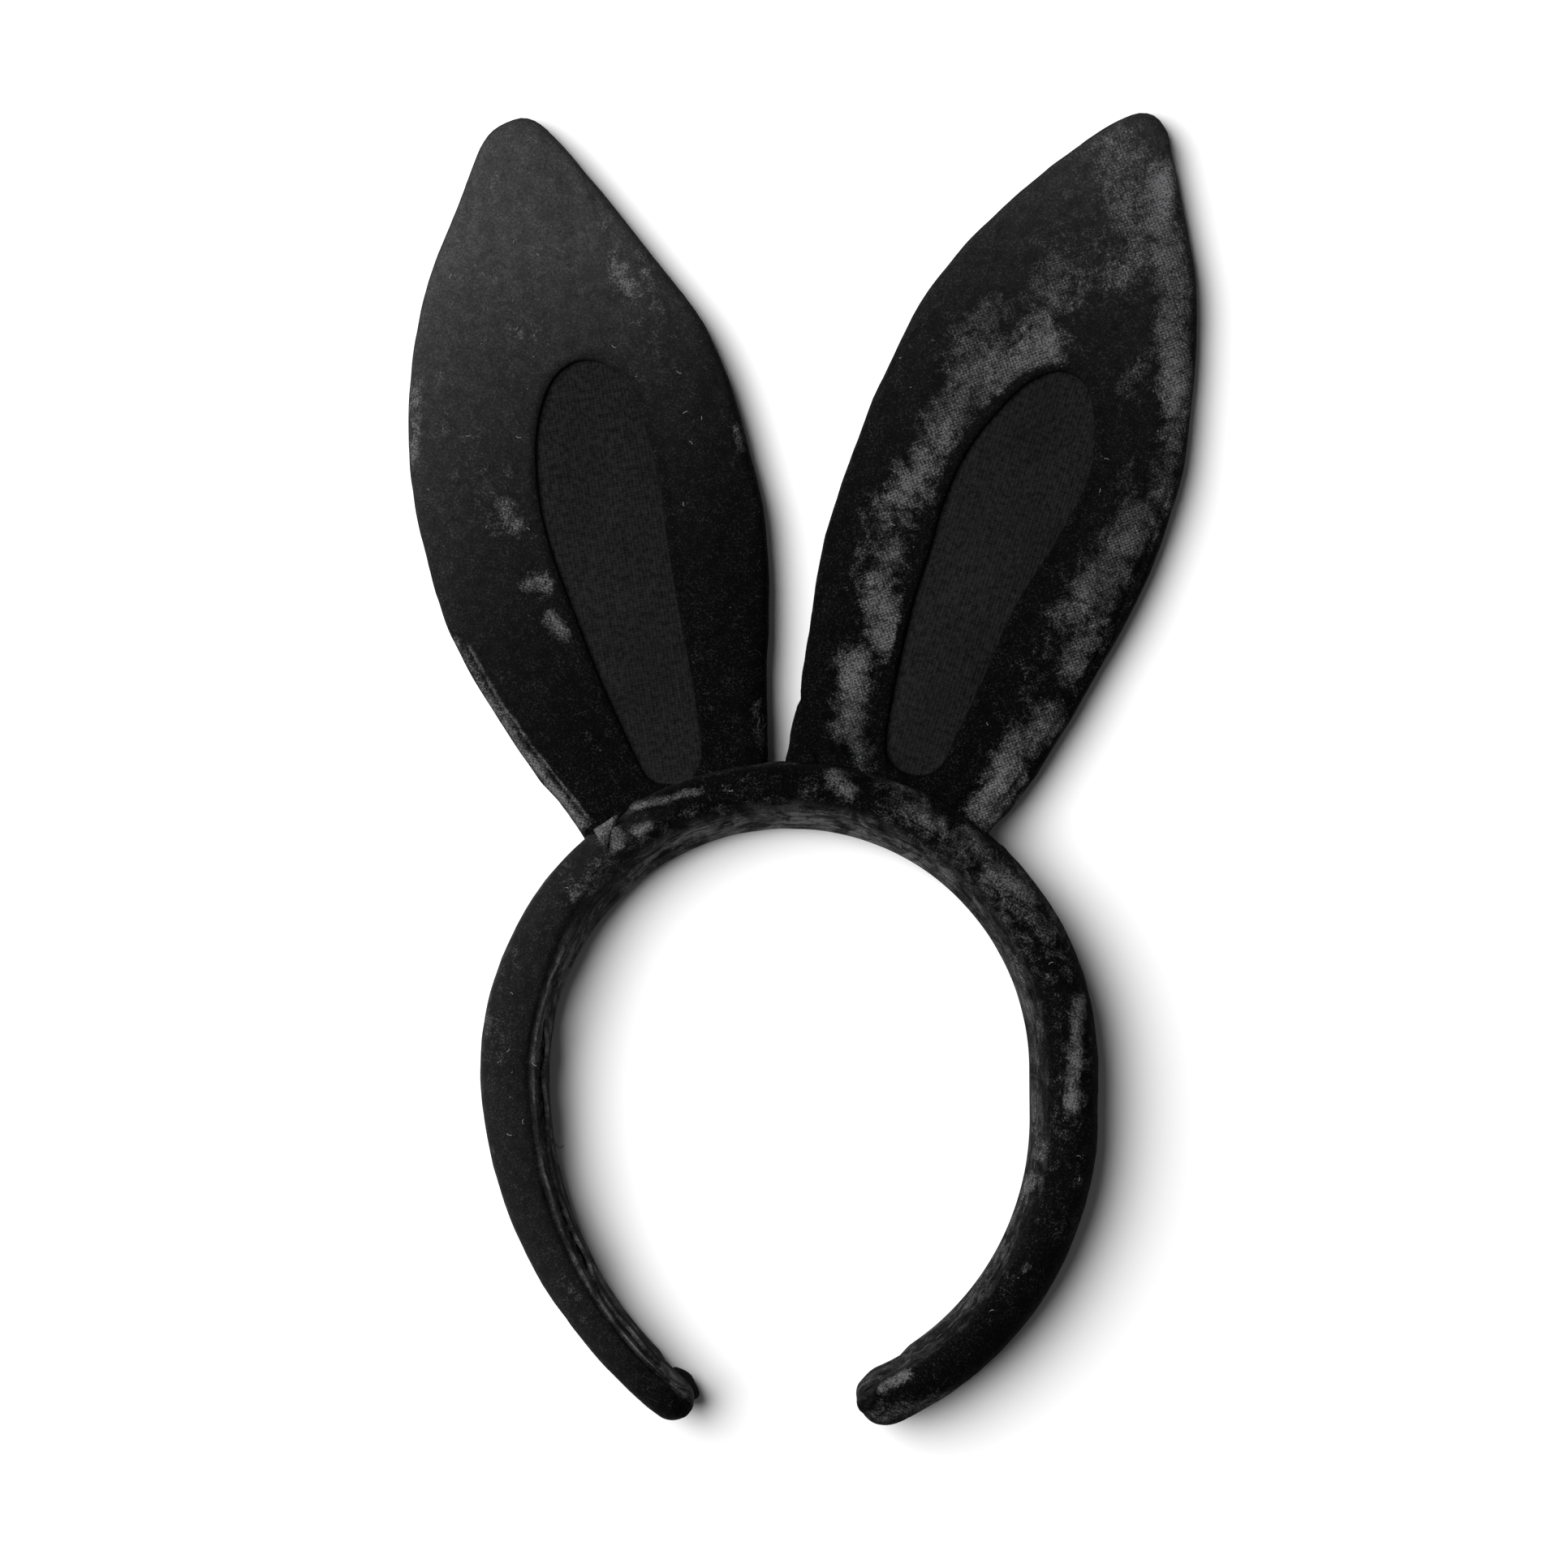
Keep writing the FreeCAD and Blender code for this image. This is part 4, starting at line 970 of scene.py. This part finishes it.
def swell(away):
    """Height of the stuffing at a distance from an ear's edge, as a share of its full height."""
    flat = 1 - min(away / sizes().ear_edge, 1.0)
    return (1 - flat**EDGE_POWER) ** (1 / EDGE_POWER)


def bend_at_foot(piece):
    """Bakes the piece's placing into its mesh; nothing here turns the cloth from the band to the ear."""
    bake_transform(piece)


def ear_rings(side, count):
    """Rings of an ear's cover, from under its insert over the window's hem, round the edge and across its back.

    Also returns the ear's outline and its window's.
    """
    size = sizes()
    outer = halves(EAR_OUTLINES[side], TIPS[side], FOOT_MIDDLES[side], count // 2)
    window = halves(WINDOW_OUTLINES[side], WINDOW_TOPS[side], FOOT_MIDDLES[side], count // 2)
    middle = sum(window, Vector()) / len(window)

    def grown(by):
        """The window's outline moved outwards."""
        out = []
        for n, point in enumerate(window):
            ahead = (window[(n + 2) % count] - window[n - 2]).normalized()
            outwards = Vector((ahead.y, -ahead.x, 0))
            if outwards.dot(point - middle) < 0:
                outwards = -outwards
            out.append(point + outwards * by)
        return out

    def lay(loop, heights):
        out = []
        for point, height in zip(loop, heights):
            level, reach = ear_plane(side, point)
            lift = foot_lift(reach) if height > 0 else 0
            out.append(Vector((point.x, point.y, level + height + lift)))
        return out

    top, low, drop = size.ear_top, size.ear_low, size.insert_drop
    hem = [
        (-3.5 * MM, top - drop - 1.6 * MM),
        (-0.4 * MM, top - drop - 1.4 * MM),
        (-0.1 * MM, top - drop * 0.75),
        (0, top - drop * 0.3),
        (0.35 * MM, top - 0.25 * MM),
        (1.0 * MM, top + 0.1 * MM),
        (1.9 * MM, top + 0.05 * MM),
    ]
    rings = [lay(grown(by) if by else window, [height] * count) for by, height in hem]
    start = grown(2.9 * MM)
    for n in range(EAR_FRONT_ROWS + 1):
        share = (n / EAR_FRONT_ROWS) ** 0.72
        heights = [top * swell((edge - inner).length * (1 - share)) for inner, edge in zip(start, outer)]
        rings.append(lay([inner.lerp(edge, share) for inner, edge in zip(start, outer)], heights))
    spine = [edge.lerp(middle, 0.9) for edge in outer]
    for n in range(1, EAR_BACK_ROWS + 1):
        share = (n / EAR_BACK_ROWS) ** 1.25
        heights = [-low * swell((inside - edge).length * share) for edge, inside in zip(outer, spine)]
        rings.append(lay([edge.lerp(inside, share) for edge, inside in zip(outer, spine)], heights))
    return rings, outer, window


def ear_painted_light(side, x, y):
    """Painted light over an ear: strongest at its tip and fading towards its foot; on the left ear it also fades
    towards the right.
    """
    if side == "left":
        return 0.3 * (1 - 0.006 * (x + 76)) * math.exp(-max(206 - y, 0) * (0.0199 + 0.0003 * (x + 76)))
    return 0.165 * math.exp(-max(230 - y, 0) * 0.0271)


def nearest(loop, point):
    """Distance from a point to the nearest corner of a loop, seen from above."""
    return min((point.x - p.x) ** 2 + (point.y - p.y) ** 2 for p in loop) ** 0.5


class HEADBAND_OT_ear_covers(bpy.types.Operator):
    """Sews and stuffs the velvet cover of each ear, with a hemmed window for its insert"""

    bl_idname = "headband.ear_covers"
    bl_label = "Ear covers"

    def execute(self, context):
        for side in SIDES:
            rings, outer, window = ear_rings(side, EAR_ROUND)
            cover = wrap("ear_cover_" + side, rings)
            hem, rim = window[::3], outer[::2]

            def sewn(point):
                reach = ear_plane(side, point)[1]
                return 1.0 if reach < 9 * MM or nearest(hem, point) < 3.2 * MM else 0.0

            def looseness(point):
                reach = ear_plane(side, point)[1]
                gather = 1 - ease((reach - 2 * MM) / (26 * MM))
                free = ease((nearest(hem, point) - 2 * MM) / (5 * MM))
                edge = 1 - ease(nearest(rim, point) / (9 * MM))
                return (0.5 + 1.2 * gather + 0.3 * edge) * mix(0.25, 1.0, free)

            # painted shade round the window's hem: the sheen fades out and the painted light dims within 3 mm of
            # it
            def calm(point):
                return ease((nearest(hem, point) - 1.2 * MM) / (1.8 * MM))

            settle(cover, sewn, sizes().puff, slack=0.002, cap=1.3 * MM, frames=sizes().puff_frames)
            folds = [(20 * MM, 0.45 * MM), (7 * MM, 0.26 * MM), (2.6 * MM, 0.09 * MM)]
            crumple(cover, folds, looseness, seed=1.1 if side == "left" else 3.3)
            press_creases(cover, EAR_CREASES[side])
            mark_pile(cover, EAR_STROKES[side], lambda x, y: ear_painted_light(side, x, y), calm)
            put_on(cover, material("velvet_%s_ear" % side))
            bend_at_foot(cover)
            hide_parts("ear_front_" + side, "ear_back_" + side, "ear_pad_" + side)
        return {"FINISHED"}


class HEADBAND_OT_inserts(bpy.types.Operator):
    """Stretches the knitted insert behind the window of each ear"""

    bl_idname = "headband.inserts"
    bl_label = "Knitted inserts"

    def execute(self, context):
        size = sizes()
        for side in SIDES:
            window = halves(WINDOW_OUTLINES[side], WINDOW_TOPS[side], FOOT_MIDDLES[side], INSERT_ROUND)
            middle = sum(window, Vector()) / len(window)

            def row(share, under):
                ring = []
                for point in window:
                    spot = middle.lerp(point, share)
                    level, reach = ear_plane(side, spot)
                    crown = 0.7 * MM * (1 - share**2)
                    height = size.ear_top - size.insert_drop + crown - (0.7 * MM if under else 0)
                    ring.append(Vector((spot.x, spot.y, level + height + foot_lift(reach))))
                return ring

            shares = [0.04 + 0.955 * n / INSERT_ROWS for n in range(INSERT_ROWS + 1)]
            rings = [row(share, True) for share in shares] + [row(share, False) for share in reversed(shares)]
            panel = wrap("ear_knit_" + side, rings)
            crumple(panel, [(16 * MM, 0.3 * MM), (5 * MM, 0.08 * MM)], seed=5.0)
            put_on(panel, material("knit_" + side))
            bend_at_foot(panel)
            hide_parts("ear_insert_" + side)
        return {"FINISHED"}


class HEADBAND_OT_folds(bpy.types.Operator):
    """Tucks a corner of velvet under the left ear's foot, and pinches the spare cloth behind the left tip"""

    bl_idname = "headband.folds"
    bl_label = "Folded corners"

    def execute(self, context):
        cloth = bpy.data.objects["band_sleeve_left"]
        spot = HOOP + Vector((-45.6, 59.7, 0)) * MM
        ground, up = cloth.ray_cast(Vector((spot.x, spot.y, RAY_START)), Vector((0, 0, -1)))[1:3]
        shape = bmesh.new()
        bmesh.ops.create_cone(shape, cap_ends=True, segments=3, radius1=1.0, radius2=0.82, depth=1.0)
        bmesh.ops.scale(shape, verts=shape.verts, vec=(6.2 * MM, 3.7 * MM, 1.5 * MM))
        bmesh.ops.subdivide_edges(shape, edges=shape.edges, cuts=5, use_grid_fill=True)
        for _ in range(4):
            bmesh.ops.smooth_vert(shape, verts=shape.verts, factor=0.5)
        tilt = Vector((0, 0, 1)).rotation_difference(up).to_matrix().to_4x4()
        turn = Matrix.Rotation(math.radians(78), 4, "Z")
        placed = Matrix.Translation(ground + up * 0.05 * MM) @ tilt @ turn
        bmesh.ops.transform(shape, verts=shape.verts, matrix=placed)
        bmesh.ops.triangulate(shape, faces=shape.faces)
        bmesh.ops.recalc_face_normals(shape, faces=shape.faces)
        fold = finish_shape("foot_fold_left", shape)
        crumple(fold, [(4 * MM, 0.35 * MM), (1.8 * MM, 0.1 * MM)], seed=2.6)
        # painted sheen over the fold
        mark_pile(fold, [(-50, 56, -45, 63, 4.5, 1.0)], band_painted_light)
        put_on(fold, material("velvet_band"))
        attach(fold, "crown")

        shape = bmesh.new()
        bmesh.ops.create_uvsphere(shape, u_segments=32, v_segments=20, radius=1)
        bmesh.ops.scale(shape, verts=shape.verts, vec=(5.0 * MM, 2.5 * MM, 4.6 * MM))
        spot = HOOP + Vector((-26.7, -79.4, 6.0)) * MM
        placed = Matrix.Translation(spot) @ Matrix.Rotation(math.radians(-47), 4, "Z")
        bmesh.ops.transform(shape, verts=shape.verts, matrix=placed)
        tuck = finish_shape("tip_tuck_left", shape)
        crumple(tuck, [(4 * MM, 0.6 * MM), (1.8 * MM, 0.25 * MM)], seed=4.1)
        mark_pile(tuck, [], lambda x, y: 0.02)
        put_on(tuck, material("velvet_band"))
        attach(tuck, "left_arm")
        return {"FINISHED"}


class HEADBAND_OT_feet(bpy.types.Operator):
    """Gathers each ear's foot onto the band with a row of stitches"""

    bl_idname = "headband.feet"
    bl_label = "Foot stitches"

    def execute(self, context):
        stitches = 11
        spread = {"left": (97, 127), "right": (53, 87)}  # degrees round the hoop
        for side in SIDES:
            shape = bmesh.new()
            for n in range(stitches):
                angle = math.radians(mix(*spread[side], n / (stitches - 1)))
                out = Vector((math.cos(angle), math.sin(angle), 0))
                spot = HOOP + out * 77.6 * MM
                spot.z = ear_plane(side, spot)[0] + 5.0 * MM
                lift = Vector((0, 0, 1)) - out * 0.35
                add_stitch(shape, spot, Vector((-out.y, out.x, 0)), lift.normalized(), 2.4 * MM, 0.22 * MM)
            row = finish_shape("gather_stitches_" + side, shape)
            put_on(row, material("thread"))
            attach(row, "crown")
            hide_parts("foot_stitches_" + side)
        return {"FINISHED"}


def add_hair(shape, spot, heading, up, length, bend, radius):
    """A short curled fibre: a few slim capsules laid end to end round a bend."""
    steps = 4
    for n in range(steps):
        turned = Matrix.Rotation(heading + bend * (n - 1.5), 3, up) @ up.orthogonal().normalized()
        add_stitch(shape, spot + turned * length / steps / 2, turned, up, length / steps * 1.35, radius)
        spot = spot + turned * length / steps


class HEADBAND_OT_lint(bpy.types.Operator):
    """Scatters a little pale lint over the velvet, and leaves two loose threads inside the left arm"""

    bl_idname = "headband.lint"
    bl_label = "Lint and loose threads"

    def execute(self, context):
        # from x, y to x, y in millimetres: the stretch of velvet that each scatter of lint lies on
        spreads = {
            "left_ear": ("ear_cover_left", (-84, 100, -14, 218), 26),
            "right_ear": ("ear_cover_right", (12, 100, 98, 222), 16),
            "left_arm": ("band_sleeve_left", (-74, -60, -56, 30), 14),
            "right_arm": ("band_sleeve_right", (58, -60, 76, 30), 8),
            "crown": ("band_sleeve_left", (-44, 56, -4, 78), 4),
        }
        for body, (cover, (x0, y0, x1, y1), count) in spreads.items():
            cloth = bpy.data.objects[cover]
            shape = bmesh.new()
            placed = 0
            for n in range(count * 6):
                across, along = (noise.cell(Vector((n * 1.7, k * 9.1, len(body)))) for k in (1, 2))
                x, y = (mix(x0, x1, across) * MM + HOOP.x, mix(y0, y1, along) * MM + HOOP.y)
                hit, spot, up = cloth.ray_cast(Vector((x, y, RAY_START)), Vector((0, 0, -1)))[:3]
                if not hit or up.z < 0.8 or spot.z < 9 * MM or placed == count:
                    continue
                turn = noise.cell(Vector((n * 3.3, 4.4, 1.0))) * 2 * math.pi
                long = mix(0.35, 1.5, noise.cell(Vector((n * 2.1, 7.9, 3.0))) ** 2) * MM
                add_hair(shape, spot + up * 0.1 * MM, turn, up.normalized(), long, 0.35, 0.075 * MM)
                placed += 1
            lint = finish_shape("lint_" + body, shape)
            put_on(lint, material("lint"))
            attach(lint, body)
        shape = bmesh.new()
        for x, y, z in ((-61.4, 13.5, 15.5), (-60.3, 12.2, 14.0), (-59.2, -17.0, 13.5), (-58.4, -18.6, 12.5)):
            spot = HOOP + Vector((x * MM, y * MM, z * MM))
            add_hair(shape, spot, 0.9 + x, Vector((0.25, 0.1, 1)).normalized(), 2.6 * MM, 0.7, 0.14 * MM)
        threads = finish_shape("loose_threads", shape)
        put_on(threads, material("thread"))
        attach(threads, "left_arm")
        return {"FINISHED"}


class HEADBAND_OT_inner_parts(bpy.types.Operator):
    """Finishes the plastic spring strips, the ear wires and the stiff feet that the velvet hides"""

    bl_idname = "headband.inner_parts"
    bl_label = "Inner parts"

    def execute(self, context):
        finishes = {"core_": "spring_plastic", "ear_wire_": "wire", "ear_foot_": "thread"}
        for name, part in frame["nodes"].items():
            for start, finish in finishes.items():
                if name.startswith(start):
                    for slot in part.material_slots:
                        slot.link = "OBJECT"
                        slot.material = material(finish)
        return {"FINISHED"}


class HEADBAND_OT_stage(bpy.types.Operator):
    """Sets the pale table, the soft studio light and the camera straight above"""

    bl_idname = "headband.stage"
    bl_label = "Stage"

    def execute(self, context):
        scene = context.scene
        shape = bmesh.new()
        bmesh.ops.create_grid(shape, x_segments=1, y_segments=1, size=3)
        table = finish_shape("table", shape, smooth=False)
        pale = Finish("pale_table")
        pale.shader.inputs["Base Color"].default_value = (0.9, 0.9, 0.9, 1)
        pale.shader.inputs["Roughness"].default_value = 0.9
        pale.shader.inputs["Specular IOR Level"].default_value = 0.1
        table.data.materials.append(pale.material)

        light = bpy.data.lights.new("window_light", "AREA")
        light.shape = "DISK"
        light.size = 1.8
        light.energy = 65
        holder = bpy.data.objects.new("window_light", light)
        holder.location = (-1.0, 0.3, 1.5)
        holder.rotation_euler = (-holder.location).to_track_quat("-Z", "Y").to_euler()
        scene.collection.objects.link(holder)

        world = bpy.data.worlds.new("studio")
        world.use_nodes = True
        nodes, links = world.node_tree.nodes, world.node_tree.links
        nodes["Background"].inputs["Color"].default_value = (1, 1, 1, 1)
        nodes["Background"].inputs["Strength"].default_value = 0.07
        # the room looks as pale as the table, but lights the velvet only faintly
        room = nodes.new("ShaderNodeBackground")
        room.inputs["Color"].default_value = (0.93, 0.93, 0.93, 1)
        seen = nodes.new("ShaderNodeLightPath")
        both = nodes.new("ShaderNodeMixShader")
        links.new(seen.outputs["Is Camera Ray"], both.inputs[0])
        links.new(nodes["Background"].outputs[0], both.inputs[1])
        links.new(room.outputs[0], both.inputs[2])
        links.new(both.outputs[0], nodes["World Output"].inputs["Surface"])
        scene.world = world
        scene.view_settings.view_transform = "Standard"

        camera = bpy.data.cameras.new("camera")
        camera.lens = 100.5
        camera.sensor_width = 36
        holder = bpy.data.objects.new("camera", camera)
        holder.location = (-0.0052, -0.0047, 1.11)
        scene.collection.objects.link(holder)
        scene.camera = holder
        return {"FINISHED"}


class HEADBAND_PT_panel(bpy.types.Panel):
    """Lists the sizes and the steps"""

    bl_label = "Headband"
    bl_idname = "HEADBAND_PT_panel"
    bl_space_type = "VIEW_3D"
    bl_region_type = "UI"
    bl_category = "Headband"

    def draw(self, context):
        column = self.layout.column(align=True)
        for word in HEADBAND_PG_sizes.__annotations__:
            column.prop(context.scene.headband, word)
        for step in STEPS:
            column.operator(step.bl_idname)


STEPS = (
    HEADBAND_OT_stage,
    HEADBAND_OT_sleeves,
    HEADBAND_OT_linings,
    HEADBAND_OT_hem_stitches,
    HEADBAND_OT_ear_covers,
    HEADBAND_OT_inserts,
    HEADBAND_OT_folds,
    HEADBAND_OT_feet,
    HEADBAND_OT_lint,
    HEADBAND_OT_inner_parts,
)
CLASSES = (HEADBAND_PG_sizes, *STEPS, HEADBAND_PT_panel)


def register():
    for item in CLASSES:
        bpy.utils.register_class(item)
    bpy.types.Scene.headband = PointerProperty(type=HEADBAND_PG_sizes)


def unregister():
    del bpy.types.Scene.headband
    for item in reversed(CLASSES):
        bpy.utils.unregister_class(item)


def main():
    register()
    for step in STEPS:
        family, word = step.bl_idname.split(".")
        getattr(getattr(bpy.ops, family), word)()


if __name__ == "__main__":
    main()
